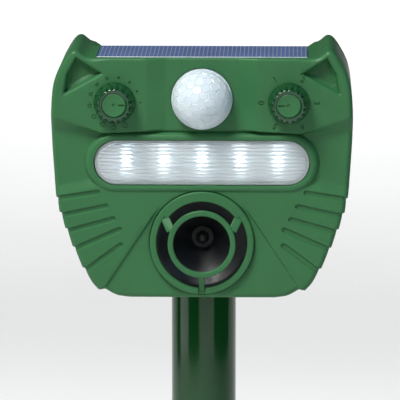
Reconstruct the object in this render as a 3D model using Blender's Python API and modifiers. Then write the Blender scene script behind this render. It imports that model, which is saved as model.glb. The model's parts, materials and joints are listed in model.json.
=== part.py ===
"""Solar ultrasonic animal repeller: an eared sensor head that turns on a ground pole.

Metres, +Z up, the face looks along -Y. The origin is where the stake's collar meets the
ground, on the pole's axis. Outlines of the face are (x, z) pairs in the head's own frame,
whose zero is the pole's axis at the underside of the head.
"""

import math

import bmesh
import bpy
from mathutils import Matrix, Vector

MM = 0.001
GAP = 0.3 * MM  # between pieces that touch

# ---- ground pole ----
POLE_RADIUS = 16 * MM
POLE_WALL = 2.2 * MM
POLE_SECTION = 100 * MM
SPIGOT_LENGTH = 22 * MM
COLLAR_RADIUS = 21 * MM
COLLAR_THICKNESS = 3 * MM
SPIKE_LENGTH = 120 * MM
SPIKE_HALF_WIDTH = 13 * MM
SPIKE_BLADE = 3 * MM

# ---- fits that other sizes follow from ----
WALL = 2.2 * MM
SOCKET_DEPTH = 32 * MM
SOCKET_OUTER = POLE_RADIUS + GAP + WALL
SOCKET_TOP_Z = SOCKET_DEPTH + 2 * MM
LENS_EDGE = 2.4 * MM  # the lens's flange stands this far outside its window
DOME_EDGE = 2.8 * MM  # and the dome's flange outside the dome

# ---- head, from front to back ----
HEAD_BOTTOM = 2 * POLE_SECTION
PARTING_Y = -SOCKET_OUTER - 1.5 * MM
FACE_Y = PARTING_Y - 24 * MM  # the brow, the foremost plane of the shell
REAR_Y = SOCKET_OUTER + 2.5 * MM
EDGE_ROUND = 2.4 * MM
GASKET_THICKNESS = 1.3 * MM

LOWER_FACE_Y = FACE_Y + 4 * MM
CENTRE_FACE_Y = FACE_Y + 3 * MM
CHEEK_Y = FACE_Y + 2 * MM
CHIN_Y = FACE_Y + 3 * MM
FACE_INSIDE_Y = LOWER_FACE_Y + 2.5 * MM
CENTRE_FLAT = 17.4 * MM
CENTRE_FACET = 26.9 * MM

# ---- speaker ----
GRILLE_RADIUS = 25.4 * MM
GRILLE_OPENING = 22.1 * MM
GRILLE_RING_OUTER = 16.6 * MM
GRILLE_RING_INNER = 13.9 * MM
GRILLE_RISE = 3.6 * MM
SPOKE_WIDTH = 3.1 * MM
SPOKE_ANGLES = [-90, 32, 148]
HORN_MOUTH = 21.6 * MM
HORN_THROAT = 5.2 * MM
HORN_WALL = 1.2 * MM
HORN_BACK_Y = FACE_Y + 19.1 * MM
DRIVER_RADIUS = 13 * MM
DRIVER_BACK_Y = HORN_BACK_Y + 5.4 * MM
SPEAKER_Z = GRILLE_RADIUS + 2.2 * MM

# ---- lamp ----
LAMP_HALF = 52.3 * MM
LAMP_RADIUS = 10.9 * MM
LAMP_Z = SPEAKER_Z + GRILLE_RADIUS + LAMP_RADIUS + 3.1 * MM
BEZEL_WIDTH = 5.2 * MM
BEZEL_Y = FACE_Y + 1 * MM
LENS_Y = FACE_Y + 2 * MM
LENS_WALL = 1.6 * MM
LED_COUNT = 5
LED_PITCH = 18.6 * MM
LED_RADIUS = 2.5 * MM

# ---- sensor ----
DOME_RADIUS = 14.8 * MM
DOME_WALL = 1 * MM
DOME_CENTRE_Y = CENTRE_FACE_Y - 1.5 * MM
SENSOR_Z = LAMP_Z + LAMP_RADIUS + LENS_EDGE + GAP + DOME_EDGE + DOME_RADIUS

# ---- solar panel ----
TRAY_HALF = 51 * MM
TRAY_FRONT_Y = FACE_Y + 4.2 * MM
TRAY_BACK_Y = TRAY_FRONT_Y + 44.6 * MM
TRAY_BOTTOM_Z = SENSOR_Z + DOME_RADIUS + 1.1 * MM
TRAY_TOP_Z = TRAY_BOTTOM_Z + 3.1 * MM
TRAY_RIM = 1.2 * MM
TRAY_FLOOR = 0.9 * MM
GLASS_THICKNESS = 0.8 * MM
CAVITY_TOP_Z = TRAY_BOTTOM_Z - 1.8 * MM
HEAD_TOP_Z = TRAY_BOTTOM_Z + 4.3 * MM  # the shell's top edge between the ears
REAR_TOP_Z = HEAD_TOP_Z - 2.4 * MM  # the same edge behind the panel

# ---- knobs ----
KNOB_X = 42.2 * MM
KNOB_Z = SENSOR_Z - 1.4 * MM
KNOB_RADIUS = 10.1 * MM
KNOB_TOP_RADIUS = 7.2 * MM
KNOB_HEIGHT = 10 * MM
KNOB_FLUTES = 17
FLUTE_DEPTH = 0.55 * MM
SHAFT_RADIUS = 3 * MM
DIAL_SIZE = 16 * MM

# ---- power ----
CELL_RADIUS = 7.1 * MM
CELL_LENGTH = 50.4 * MM
CELL_PITCH = 2 * CELL_RADIUS + 1 * MM
CELL_COUNT = 3
DOOR_HALF_WIDTH = CELL_LENGTH / 2 + 7.5 * MM
DOOR_HALF_HEIGHT = CELL_PITCH * CELL_COUNT / 2 + 2.9 * MM
DOOR_SCREW_X = DOOR_HALF_WIDTH - 2.9 * MM
BATTERY_Z = SOCKET_TOP_Z + DOOR_HALF_HEIGHT + 4.3 * MM
BATTERY_Y = REAR_Y - WALL - 2.1 * MM - CELL_RADIUS
USB_X = -33 * MM
USB_Z = 22 * MM
USB_COVER_HALF = (8.2 * MM, 4.7 * MM)
USB_COVER_THICKNESS = 1.2 * MM

# ---- electronics ----
MAIN_BOARD_Y = FACE_Y + 16 * MM
MAIN_BOARD_Z = SENSOR_Z - 2.7 * MM
MAIN_BOARD_HALF = (56 * MM, 13.5 * MM)
BOARD_THICKNESS = 1.6 * MM
BOARD_SCREW = (53.6 * MM, SENSOR_Z - 12.6 * MM)
BOARD_SCREW_RADIUS = 1 * MM

# ---- fasteners ----
CASE_SCREWS = [(61 * MM, SENSOR_Z + 0.8 * MM), (47 * MM, 15 * MM)]
COLUMN_RADIUS = 4.2 * MM
SCREW_HEAD_RADIUS = 2.9 * MM
SCREW_HEAD = 2.2 * MM
SCREW_RADIUS = 1.3 * MM
SCREW_SEAT_Y = PARTING_Y + 8 * MM
SCREW_TIP_Y = PARTING_Y - 11 * MM

# ---- outlines ----
NOTCH_DEPTH = 0.9 * MM
NOTCH_STEP = 0.15 * MM
NOTCH_LEVELS = [49.4 * MM, 42.2 * MM, 34.2 * MM, 24.9 * MM, 14.6 * MM]
EAR_RECESS_DEPTH = 5 * MM
GROOVE_DEPTH = 1.1 * MM
GROOVE_WIDTH = 2.3 * MM


def placed(points, base=0.0):
    """Points in millimetres as metres, their heights counted from a level."""
    return [(x * MM, z * MM + base) for x, z in points]


# Right half of the face's outline, from the chin up and over the ear. Each stretch counts its
# heights from the head's underside, the lamp or the head's top.
CHIN_POINTS = placed([(0, 0), (35.5, 0), (41.8, 1.1), (47.4, 4.1)])
CHEEK_POINTS = placed([
    (50.4, 3.7), (54.9, 8.7), (60.6, 19.3), (65.1, 29.9), (68.3, 38.6), (70.4, 45.7), (71.4, 52.8),
])
SIDE_POINTS = placed([(72, -6), (73, 10)], LAMP_Z)
SIDE_POINTS += placed([
    (73.4, -28.9), (72.7, -17.5), (71.6, -11.2), (69.7, -6.2), (67.8, -2.7), (65.7, 0.7),
], HEAD_TOP_Z)
EAR_POINTS = placed([
    (64.2, 2.5), (62.9, 3.6), (61.4, 4), (60, 3.4), (58.2, 1.9), (56.4, 0.7), (54, 0.15), (51.4, 0.05),
], HEAD_TOP_Z)
TOP_POINTS = placed([(46, 0), (30, 0), (0, 0)], HEAD_TOP_Z)
EAR_RECESS = placed([(60.9, 0.9), (47.6, -7.6), (68.1, -18.8)], HEAD_TOP_Z)
BROW_LINE = placed([(0, 1.7), (17.6, 1.6), (27.8, -0.6), (48.3, -1.5), (63, 3.4), (80, 9.1)],
                   SENSOR_Z - DOME_RADIUS)
CHEEK_INNER = placed([(56.9, -8.6), (80, -13.4)], LAMP_Z)
CHEEK_INNER += placed([(80, -10), (57.5, -10), (47.4, 4.2), (25.3, 37.9), (24, 49.7)])
CHIN_FACE = placed([(35.5, 0.7), (46.8, 4.7), (25.3, 37.9), (24, 49.7), (0, 49.7)])
GROOVES = [  # inner end, and the angle below the horizontal at which it runs outwards
    ((50.8, 52.3), 9),
    ((46.7, 45.5), 12),
    ((43.3, 39.2), 15.5),
    ((40.3, 34.0), 24),
    ((39.7, 26.3), 36.5),
]

HEAD_PLACE = Matrix.Translation((0, 0, HEAD_BOTTOM))
# Local x, y, z of a flat outline become these world axes.
FRONT = Matrix(((1, 0, 0, 0), (0, 0, -1, 0), (0, 1, 0, 0), (0, 0, 0, 1)))
BACK = Matrix(((-1, 0, 0, 0), (0, 0, 1, 0), (0, 1, 0, 0), (0, 0, 0, 1)))
SIDE = Matrix(((0, 0, 1, 0), (1, 0, 0, 0), (0, 1, 0, 0), (0, 0, 0, 1)))
UP = Matrix.Identity(4)


# ---------------------------------------------------------------- materials and objects
def srgb_to_linear(value):
    return value / 12.92 if value <= 0.04045 else ((value + 0.055) / 1.055) ** 2.4


def material(name, hex_colour, roughness=0.4, metallic=0.0, alpha=1.0):
    made = bpy.data.materials.new(name)
    made.use_nodes = True
    shader = made.node_tree.nodes["Principled BSDF"]
    channels = [int(hex_colour[i : i + 2], 16) / 255 for i in (0, 2, 4)]
    shader.inputs["Base Color"].default_value = (*map(srgb_to_linear, channels), 1)
    shader.inputs["Roughness"].default_value = roughness
    shader.inputs["Metallic"].default_value = metallic
    shader.inputs["Alpha"].default_value = alpha
    return made


def start_scene():
    """Removes what the scene holds, and makes a collection for the pieces and one for cutters."""
    for obj in list(bpy.data.objects):
        bpy.data.objects.remove(obj, do_unlink=True)
    collections = []
    for name in ("animal_repeller", "cutters"):
        collection = bpy.data.collections.new(name)
        bpy.context.scene.collection.children.link(collection)
        collections.append(collection)
    return collections


def add_object(name, data, place):
    obj = bpy.data.objects.new(name, data)
    obj.matrix_world = place
    PIECES.objects.link(obj)
    return obj


def mesh_object(name, bm, place):
    bmesh.ops.recalc_face_normals(bm, faces=bm.faces)
    mesh = bpy.data.meshes.new(name)
    bm.to_mesh(mesh)
    bm.free()
    return add_object(name, mesh, place)


def finish(obj, slot, parent=None):
    """Gives a piece its material and parent, and shades its round faces smooth."""
    obj.data.materials.append(slot)
    if obj.type == "MESH":
        obj.data.shade_smooth()
        obj.data.set_sharp_from_angle(angle=math.radians(32))
    if parent:
        keep = obj.matrix_world.copy()
        obj.parent = parent
        bpy.context.view_layer.update()
        obj.matrix_world = keep
    return obj


def boolean(obj, operation, *tools):
    """Cuts, joins or intersects a piece with tools, which become hidden helpers."""
    for tool in tools:
        modifier = obj.modifiers.new(operation.lower(), "BOOLEAN")
        modifier.operation = operation
        modifier.object = tool
        if tool.name in PIECES.objects:
            PIECES.objects.unlink(tool)
            CUTTERS.objects.link(tool)
        tool.hide_render = True
        tool.display_type = "WIRE"
    return obj


def cut(obj, *tools):
    return boolean(obj, "DIFFERENCE", *tools)


def join(obj, *tools):
    return boolean(obj, "UNION", *tools)


# ---------------------------------------------------------------- shapes
def prism(name, loops, low, high, facing=FRONT, base=HEAD_PLACE):
    """A flat outline, with holes if there are more loops, given a thickness between two depths.

    The depths run along +Y for FRONT and BACK, +X for SIDE and +Z for UP.
    """
    curve = bpy.data.curves.new(name, "CURVE")
    curve.dimensions = "2D"
    curve.fill_mode = "BOTH"
    curve.extrude = (high - low) / 2
    for loop in loops:
        spline = curve.splines.new("POLY")
        spline.points.add(len(loop) - 1)
        for point, (u, v) in zip(spline.points, loop):
            point.co = (u, v, 0, 1)
        spline.use_cyclic_u = True
    depth_axis = Vector([abs(c) for c in facing.col[2].xyz])
    middle = depth_axis * (low + high) / 2
    guide = add_object(name, curve, base @ Matrix.Translation(middle) @ facing)
    bpy.context.view_layer.update()
    evaluated = guide.evaluated_get(bpy.context.evaluated_depsgraph_get())
    mesh = bpy.data.meshes.new_from_object(evaluated)
    place = guide.matrix_world.copy()
    bpy.data.objects.remove(guide, do_unlink=True)
    bm = bmesh.new()
    bm.from_mesh(mesh)
    bmesh.ops.remove_doubles(bm, verts=bm.verts, dist=1e-6)
    return mesh_object(name, bm, place)


def box(name, low, high, base=HEAD_PLACE):
    """A block between two corners."""
    bm = bmesh.new()
    bmesh.ops.create_cube(bm, size=1)
    size = [b - a for a, b in zip(low, high)]
    middle = [(a + b) / 2 for a, b in zip(low, high)]
    bmesh.ops.scale(bm, vec=size, verts=bm.verts)
    return mesh_object(name, bm, base @ Matrix.Translation(middle))


def turned(name, profile, place, facing=FRONT, steps=32, closed=False):
    """A round piece: its profile of (radius, height) turned about its axis.

    An open profile starts and ends on the axis. It runs down the piece's outer side.
    """
    mesh = bpy.data.meshes.new(name)
    edges = [(i, i + 1) for i in range(len(profile) - 1)]
    if closed:
        edges.append((len(profile) - 1, 0))
    mesh.from_pydata([(radius, 0, height) for radius, height in profile], edges, [])
    obj = add_object(name, mesh, HEAD_PLACE @ Matrix.Translation(place) @ facing)
    screw = obj.modifiers.new("turn", "SCREW")
    screw.steps = screw.render_steps = steps
    screw.use_merge_vertices = True
    screw.merge_threshold = 1e-5
    screw.use_smooth_shade = True
    return obj


def rod(name, radius, low, high, place, facing=FRONT, steps=24):
    """A cylinder whose ends are at two heights along its axis."""
    bm = bmesh.new()
    bmesh.ops.create_cone(bm, cap_ends=True, segments=steps, radius1=radius, radius2=radius, depth=high - low)
    bmesh.ops.translate(bm, vec=(0, 0, (low + high) / 2), verts=bm.verts)
    return mesh_object(name, bm, HEAD_PLACE @ Matrix.Translation(place) @ facing)


def tube(name, outer, inner, low, high, place, facing=FRONT, steps=32):
    profile = [(inner, high), (outer, high), (outer, low), (inner, low)]
    return turned(name, profile, place, facing, steps, closed=True)


def loft(name, sections, base=HEAD_PLACE):
    """A solid through closed sections of equal point counts, each a list of (x, y, z)."""
    bm = bmesh.new()
    rings = [[bm.verts.new(point) for point in section] for section in sections]
    for lower, upper in zip(rings, rings[1:]):
        for i in range(len(lower)):
            j = (i + 1) % len(lower)
            bm.faces.new((lower[i], lower[j], upper[j], upper[i]))
    bm.faces.new(rings[0])
    bm.faces.new(rings[-1])
    return mesh_object(name, bm, base)


def mirrored(points):
    """A right half that runs from the middle line, made whole."""
    left = [(-x, z) for x, z in reversed(points) if x > 1e-9]
    return points + left


def flipped(points):
    return [(-x, z) for x, z in reversed(points)]


def stadium(half_width, radius, centre_z, steps=12):
    """A slot with round ends."""
    loop = []
    for side in (1, -1):
        for i in range(steps + 1):
            angle = math.pi * i / steps - math.pi / 2
            x = side * (half_width - radius + radius * math.cos(angle))
            loop.append((x, centre_z + side * radius * math.sin(angle)))
    return loop


def rectangle(half_width, half_height, x=0.0, z=0.0):
    return [
        (x - half_width, z - half_height),
        (x + half_width, z - half_height),
        (x + half_width, z + half_height),
        (x - half_width, z + half_height),
    ]


def rounded_rectangle(half_width, half_height, radius, x=0.0, z=0.0, steps=4):
    loop = []
    for quarter, (sx, sz) in enumerate(((1, 1), (-1, 1), (-1, -1), (1, -1))):
        for i in range(steps + 1):
            angle = math.pi / 2 * (quarter + i / steps)
            u = x + sx * (half_width - radius) + radius * math.cos(angle)
            loop.append((u, z + sz * (half_height - radius) + radius * math.sin(angle)))
    return loop


def notch_at(z):
    """How far a petal's rim has stepped in at a height: most at its top, nothing at its foot."""
    levels = [*NOTCH_LEVELS, 4 * MM]
    for top, foot in zip(levels, levels[1:]):
        if foot <= z < top:
            return NOTCH_DEPTH * (z - foot) / (top - foot)
    return 0.0


def half_outline():
    """Right half of the outline as (x, z), from the middle of the chin to the middle of the top."""
    rim = CHEEK_POINTS + SIDE_POINTS
    for level in NOTCH_LEVELS:
        at = next(i for i, point in enumerate(rim) if point[1] > level)
        (x, z), (next_x, next_z) = rim[at - 1], rim[at]
        edge = [level - NOTCH_STEP, level + NOTCH_STEP]
        rim[at:at] = [(x + (next_x - x) * (e - z) / (next_z - z), e) for e in edge]
    return CHIN_POINTS + rim + EAR_POINTS + TOP_POINTS


def outline(inset=0.0, notched=False):
    """The whole outline moved inwards, with the petals' steps if it is notched."""
    loop = mirrored(half_outline())
    moved = []
    for i, (x, z) in enumerate(loop):
        before, after = Vector(loop[i - 1]), Vector(loop[(i + 1) % len(loop)])
        along = (after - before).normalized()
        depth = inset + (notch_at(z) if notched and abs(x) > 50 * MM else 0)
        moved.append((x - along.y * depth, z + along.x * depth))
    return moved


def cavity_outline(clearance=0.0):
    """The outline inside the shell's wall, level under the panel and the ears."""
    top = CAVITY_TOP_Z - clearance
    walls = outline(WALL + clearance)
    half = []
    for (x, z), (next_x, next_z) in zip(walls, walls[1:]):
        half.append((x, z))
        if next_z > top:
            half.append((x + (next_x - x) * (top - z) / (next_z - z), top))
            break
    return mirrored([(0, half[0][1]), *half[1:], (0, top)])


def section(loop, y):
    return [(x, y, z) for x, z in loop]


# ---------------------------------------------------------------- shells
def groove(start, angle):
    """Outline of a finger groove that runs out over the cheek's edge."""
    length = 40 * MM
    half = GROOVE_WIDTH / 2
    turn = math.radians(-angle)
    loop = [(length, half)]
    loop += [(half * math.cos(a), half * math.sin(a)) for a in
             [math.pi / 2 + math.pi * i / 6 for i in range(7)]]
    loop.append((length, -half))
    rotated = []
    for u, v in loop:
        x = start[0] * MM + u * math.cos(turn) - v * math.sin(turn)
        z = start[1] * MM + u * math.sin(turn) + v * math.cos(turn)
        rotated.append((x, z))
    return rotated


def screw_places():
    return [(side * x, z) for x, z in CASE_SCREWS for side in (1, -1)]


def tray_pocket():
    low = (-TRAY_HALF - GAP, TRAY_FRONT_Y - GAP, TRAY_BOTTOM_Z - GAP)
    high = (TRAY_HALF + GAP, TRAY_BACK_Y + GAP, 140 * MM)
    return box("tray_pocket", low, high)


def front_shell():
    """The face: brow with ears, sunken centre, lamp bezel, cheeks with grooves, chin."""
    back = PARTING_Y - GAP
    shell = loft("front_shell", [
        section(outline(EDGE_ROUND, True), FACE_Y),
        section(outline(EDGE_ROUND * 0.3, True), FACE_Y + EDGE_ROUND * 0.3),
        section(outline(0, True), FACE_Y + EDGE_ROUND),
        section(outline(0, True), back),
    ])
    ahead = FACE_Y - 10 * MM
    brow = mirrored(BROW_LINE)
    below_brow = brow[: len(BROW_LINE)] + [(80 * MM, -10 * MM), (-80 * MM, -10 * MM)]
    below_brow += brow[len(BROW_LINE) :]
    lower = prism("lower_face", [below_brow], ahead, LOWER_FACE_Y)
    trough = [(-CENTRE_FACET, FACE_Y), (-CENTRE_FLAT, CENTRE_FACE_Y), (CENTRE_FLAT, CENTRE_FACE_Y),
              (CENTRE_FACET, FACE_Y), (CENTRE_FACET + 9 * MM, ahead), (-CENTRE_FACET - 9 * MM, ahead)]
    centre = prism("centre_trough", [trough], 70 * MM, 130 * MM, UP)
    cut(shell, lower, centre)

    bury = FACE_INSIDE_Y - 1 * MM
    bezel = prism("bezel", [stadium(LAMP_HALF + BEZEL_WIDTH, LAMP_RADIUS + BEZEL_WIDTH, LAMP_Z)],
                  BEZEL_Y, bury)
    rim = prism("rim", [outline(0.6 * MM, True)], FACE_Y - 1 * MM, bury)
    cheeks = []
    for name, flip in (("cheek_right", False), ("cheek_left", True)):
        cheek = prism(name, [flipped(CHEEK_INNER) if flip else CHEEK_INNER], CHEEK_Y, bury)
        boolean(cheek, "INTERSECT", rim)
        cheeks.append(cheek)
    chin = prism("chin", [mirrored(CHIN_FACE)], CHIN_Y, bury)
    join(shell, chin, *cheeks, bezel)

    cut(shell, prism("front_hollow", [cavity_outline()], FACE_INSIDE_Y, 0))
    for side in (1, -1):
        pocket = rectangle(DIAL_SIZE / 2 + 1 * MM, DIAL_SIZE / 2 + 1 * MM, side * KNOB_X, KNOB_Z)
        cut(shell, prism("dial_pocket", [pocket], FACE_Y + 2.5 * MM, FACE_INSIDE_Y + 1 * MM))
    for x, z in screw_places():
        post = rod("screw_post", COLUMN_RADIUS, 0, back - FACE_Y - 2.5 * MM, (x, back, z))
        hole = rod("screw_hole", SCREW_RADIUS + GAP, -1 * MM, 14 * MM, (x, back, z), steps=20)
        join(shell, post)
        cut(shell, hole)
    for side in (1, -1):
        at = (side * BOARD_SCREW[0], 0, BOARD_SCREW[1])
        join(shell, rod("board_post", 2.6 * MM, -MAIN_BOARD_Y + GAP, 1 * MM - FACE_INSIDE_Y, at, steps=16))
        cut(shell, rod("board_pilot", BOARD_SCREW_RADIUS + GAP, 20 * MM, 6 * MM - MAIN_BOARD_Y, at, steps=12))

    lamp_hole = stadium(LAMP_HALF + GAP, LAMP_RADIUS + GAP, LAMP_Z)
    cut(shell, prism("lamp_hole", [lamp_hole], ahead, -30 * MM))
    speaker_at = (0, 0, SPEAKER_Z)
    cut(shell, rod("grille_seat", GRILLE_RADIUS + GAP, -LOWER_FACE_Y, -ahead, speaker_at, steps=48))
    cut(shell, rod("horn_hole", HORN_MOUTH + HORN_WALL + GAP, 30 * MM, -ahead, speaker_at, steps=48))
    cut(shell, rod("dome_hole", DOME_RADIUS + GAP, 30 * MM, -ahead, (0, 0, SENSOR_Z), steps=36))
    for side in (1, -1):
        cut(shell, rod("shaft_hole", SHAFT_RADIUS + 2 * GAP, 30 * MM, -ahead, (side * KNOB_X, 0, KNOB_Z)))
        ear = EAR_RECESS if side > 0 else flipped(EAR_RECESS)
        cut(shell, prism("ear_recess", [ear], ahead, FACE_Y + EAR_RECESS_DEPTH))
        for start, angle in GROOVES:
            loop = groove(start, angle)
            loop = loop if side > 0 else flipped(loop)
            cut(shell, prism("groove", [loop], ahead, CHEEK_Y + GROOVE_DEPTH))
    return cut(shell, tray_pocket())


def rear_shell():
    """The back of the head, with the pole's socket, screw columns and service openings."""
    shell = loft("rear_shell", [
        section(outline(0), PARTING_Y),
        section(outline(0), REAR_Y - EDGE_ROUND),
        section(outline(EDGE_ROUND * 0.3), REAR_Y - EDGE_ROUND * 0.3),
        section(outline(EDGE_ROUND), REAR_Y),
    ])
    step = box("step", (-TRAY_HALF - GAP, TRAY_FRONT_Y, REAR_TOP_Z), (TRAY_HALF + GAP, REAR_Y + 5 * MM, 140 * MM))
    cut(shell, prism("rear_hollow", [cavity_outline()], PARTING_Y - 5 * MM, REAR_Y - WALL), tray_pocket(), step)
    join(shell, rod("socket", SOCKET_OUTER, 0.8 * MM, SOCKET_TOP_Z, (0, 0, 0), UP, 48))
    cut(shell, rod("socket_bore", SOCKET_OUTER - WALL, -5 * MM, SOCKET_DEPTH, (0, 0, 0), UP, 48))

    for x, z in screw_places():
        join(shell, rod("column", COLUMN_RADIUS, PARTING_Y, REAR_Y - 1 * MM, (x, 0, z), BACK, 24))
        cut(shell, rod("counterbore", SCREW_HEAD_RADIUS + GAP, SCREW_SEAT_Y, 30 * MM, (x, 0, z), BACK, 24))
        cut(shell, rod("clearance", SCREW_RADIUS + GAP, -40 * MM, 0, (x, 0, z), BACK, 20))

    opening = rounded_rectangle(DOOR_HALF_WIDTH + GAP, DOOR_HALF_HEIGHT + GAP, 3 * MM, 0, BATTERY_Z)
    cut(shell, prism("door_opening", [opening], REAR_Y - WALL - 3.8 * MM, 40 * MM))
    half_x, half_z = USB_COVER_HALF
    pocket = rounded_rectangle(half_x + GAP, half_z + GAP, 2 * MM, USB_X, USB_Z)
    cut(shell, prism("usb_pocket", [pocket], REAR_Y - USB_COVER_THICKNESS - GAP, 40 * MM))
    mouth = rounded_rectangle(4.9 * MM, 2 * MM, 1.2 * MM, USB_X, USB_Z)
    cut(shell, prism("usb_mouth", [mouth], REAR_Y - WALL - 3.8 * MM, 40 * MM))
    return shell


def shell_gasket():
    """A sealing band inside the joint between the two shells."""
    loops = [cavity_outline(GAP), cavity_outline(GAP + GASKET_THICKNESS)]
    return prism("shell_gasket", loops, PARTING_Y - 2 * MM, PARTING_Y + 1.2 * MM)


# ---------------------------------------------------------------- solar panel
def solar_pieces(green, glass, silicon):
    """The panel: a tray that holds the cells, and its glass on the tray's rim."""
    low = (-TRAY_HALF, TRAY_FRONT_Y, TRAY_BOTTOM_Z)
    high = (TRAY_HALF, TRAY_BACK_Y, TRAY_TOP_Z)
    tray = box("solar_tray", low, high)
    inside_low = (low[0] + TRAY_RIM, low[1] + TRAY_RIM, low[2] + TRAY_FLOOR)
    inside_high = (high[0] - TRAY_RIM, high[1] - TRAY_RIM, high[2] + 5 * MM)
    lead_hole = rod("lead_hole", 2.5 * MM, TRAY_BOTTOM_Z - 10 * MM, TRAY_TOP_Z + 5 * MM, (0, -6 * MM, 0), UP)
    cut(tray, box("tray_inside", inside_low, inside_high), lead_hole)
    finish(tray, green)
    foot = TRAY_TOP_Z + GAP
    finish(box("solar_glass", (low[0], low[1], foot), (high[0], high[1], foot + GLASS_THICKNESS)), glass)
    cells_low = tuple(a + GAP for a in inside_low)
    finish(box("solar_cells", cells_low, (-cells_low[0], inside_high[1] - GAP, TRAY_TOP_Z - GAP)), silicon)


# ---------------------------------------------------------------- motion sensor
def sensor_pieces(white, rubber, steel):
    """The dome is pushed in from behind. The top of its flange and seal is cut off under the ceiling."""
    flange_radius = DOME_RADIUS + DOME_EDGE
    flange_front = -(FACE_INSIDE_Y + 1.1 * MM)
    flange_back = flange_front - 1.2 * MM
    centre = -DOME_CENTRE_Y
    inner_radius = DOME_RADIUS - DOME_WALL
    arc = [math.pi / 2 * i / 7 for i in range(8)]
    outer = [(DOME_RADIUS * math.sin(a), centre + DOME_RADIUS * math.cos(a)) for a in arc]
    inner = [(inner_radius * math.sin(a), centre + inner_radius * math.cos(a)) for a in reversed(arc)]
    skirt_back = flange_back - 0.4 * MM
    profile = [*outer, (DOME_RADIUS, skirt_back), (inner_radius, skirt_back), *inner]
    place = (0, 0, SENSOR_Z)
    dome = turned("sensor_dome", profile, place)
    half, ceiling = 2 * DOME_RADIUS, CAVITY_TOP_Z - GAP
    above = box("above_ceiling", (-half, 2 * FACE_Y, ceiling), (half, 0, ceiling + 20 * MM))
    flange = tube("dome_flange", flange_radius, DOME_RADIUS - DOME_WALL / 2, flange_back, flange_front, place)
    cut(flange, above)
    finish(join(dome, flange), white)
    gasket = tube("sensor_gasket", flange_radius, DOME_RADIUS + 2 * GAP, flange_front + GAP,
                  -FACE_INSIDE_Y - GAP, place)
    finish(cut(gasket, above), rubber)
    board = -MAIN_BOARD_Y
    can = [(0, board + 4.6 * MM), (4.1 * MM, board + 4.6 * MM), (4.1 * MM, board + 1.1 * MM),
           (4.7 * MM, board + 1.1 * MM), (4.7 * MM, board + GAP), (0, board + GAP)]
    finish(turned("sensor_can", can, place, steps=20), steel)


# ---------------------------------------------------------------- lamp
def lamp_pieces(clear, chrome, board_green, led_white):
    flange = FACE_INSIDE_Y + GAP
    lens = prism("lamp_lens", [stadium(LAMP_HALF, LAMP_RADIUS, LAMP_Z)], LENS_Y, flange + 0.7 * MM)
    edge = stadium(LAMP_HALF + LENS_EDGE, LAMP_RADIUS + LENS_EDGE, LAMP_Z)
    join(lens, prism("lens_flange", [edge], flange, flange + 1.4 * MM))
    hollow = stadium(LAMP_HALF - LENS_WALL, LAMP_RADIUS - LENS_WALL, LAMP_Z)
    cut(lens, prism("lens_hollow", [hollow], LENS_Y + LENS_WALL, -30 * MM))
    finish(lens, clear)

    reflector_y = flange + 2.4 * MM
    holes = []
    for i in range(LED_COUNT):
        x = (i - (LED_COUNT - 1) / 2) * LED_PITCH
        holes.append([(x + 3.1 * MM * math.cos(a), LAMP_Z + 3.1 * MM * math.sin(a))
                      for a in [2 * math.pi * k / 16 for k in range(16)]])
    finish(prism("lamp_reflector", [edge, *holes], reflector_y, reflector_y + 1 * MM), chrome)

    board_y = reflector_y + 2.2 * MM
    finish(prism("lamp_board", [rectangle(LAMP_HALF, LAMP_RADIUS, 0, LAMP_Z)], board_y, board_y + 1.6 * MM),
           board_green)
    foot, tip = -board_y + GAP, -reflector_y + 1.4 * MM
    dome_base = tip - LED_RADIUS * 0.8
    for i in range(LED_COUNT):
        x = (i - (LED_COUNT - 1) / 2) * LED_PITCH
        dome = [(LED_RADIUS * math.sin(a), dome_base + LED_RADIUS * 0.8 * math.cos(a))
                for a in [math.pi / 2 * k / 4 for k in range(5)]]
        finish(turned(f"led_{i + 1}", dome + [(LED_RADIUS, foot), (0, foot)], (x, 0, LAMP_Z), steps=12),
               led_white)


# ---------------------------------------------------------------- speaker
def grille(green):
    """Outer ring, three spokes that rise forwards, and the raised inner ring."""
    ring_front = -(FACE_Y + 0.6 * MM)
    ring_back = -LOWER_FACE_Y + GAP
    top = ring_front + GRILLE_RISE
    place = (0, 0, SPEAKER_Z)
    ring = tube("speaker_grille", GRILLE_RADIUS, GRILLE_OPENING, ring_back, ring_front, place, steps=48)
    inner = tube("inner_ring", GRILLE_RING_OUTER, GRILLE_RING_INNER, top - 2.4 * MM, top, place, steps=48)
    join(ring, inner)
    for angle in SPOKE_ANGLES:
        half = (SPOKE_WIDTH if angle < 0 else SPOKE_WIDTH * 1.3) / 2
        side = [(GRILLE_RING_INNER + 1 * MM, top - 0.2 * MM), (GRILLE_RING_OUTER, top - 0.2 * MM),
                (GRILLE_OPENING + 1.4 * MM, ring_front + 0.4 * MM),
                (GRILLE_OPENING + 1.4 * MM, ring_back + 1 * MM),
                (GRILLE_OPENING - 0.6 * MM, ring_back + 1 * MM), (GRILLE_RING_INNER + 1 * MM, top - 2 * MM)]
        bm = bmesh.new()
        turn = Matrix.Rotation(math.radians(angle), 4, "Z")
        rings = [[bm.verts.new(turn @ Vector((r, s, h))) for r, h in side] for s in (-half, half)]
        for i in range(len(side)):
            j = (i + 1) % len(side)
            bm.faces.new((rings[0][i], rings[0][j], rings[1][j], rings[1][i]))
        bm.faces.new(rings[0])
        bm.faces.new(rings[1])
        spoke = mesh_object("spoke", bm, HEAD_PLACE @ Matrix.Translation(place) @ FRONT)
        join(ring, spoke)
    return finish(ring, green)


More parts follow.
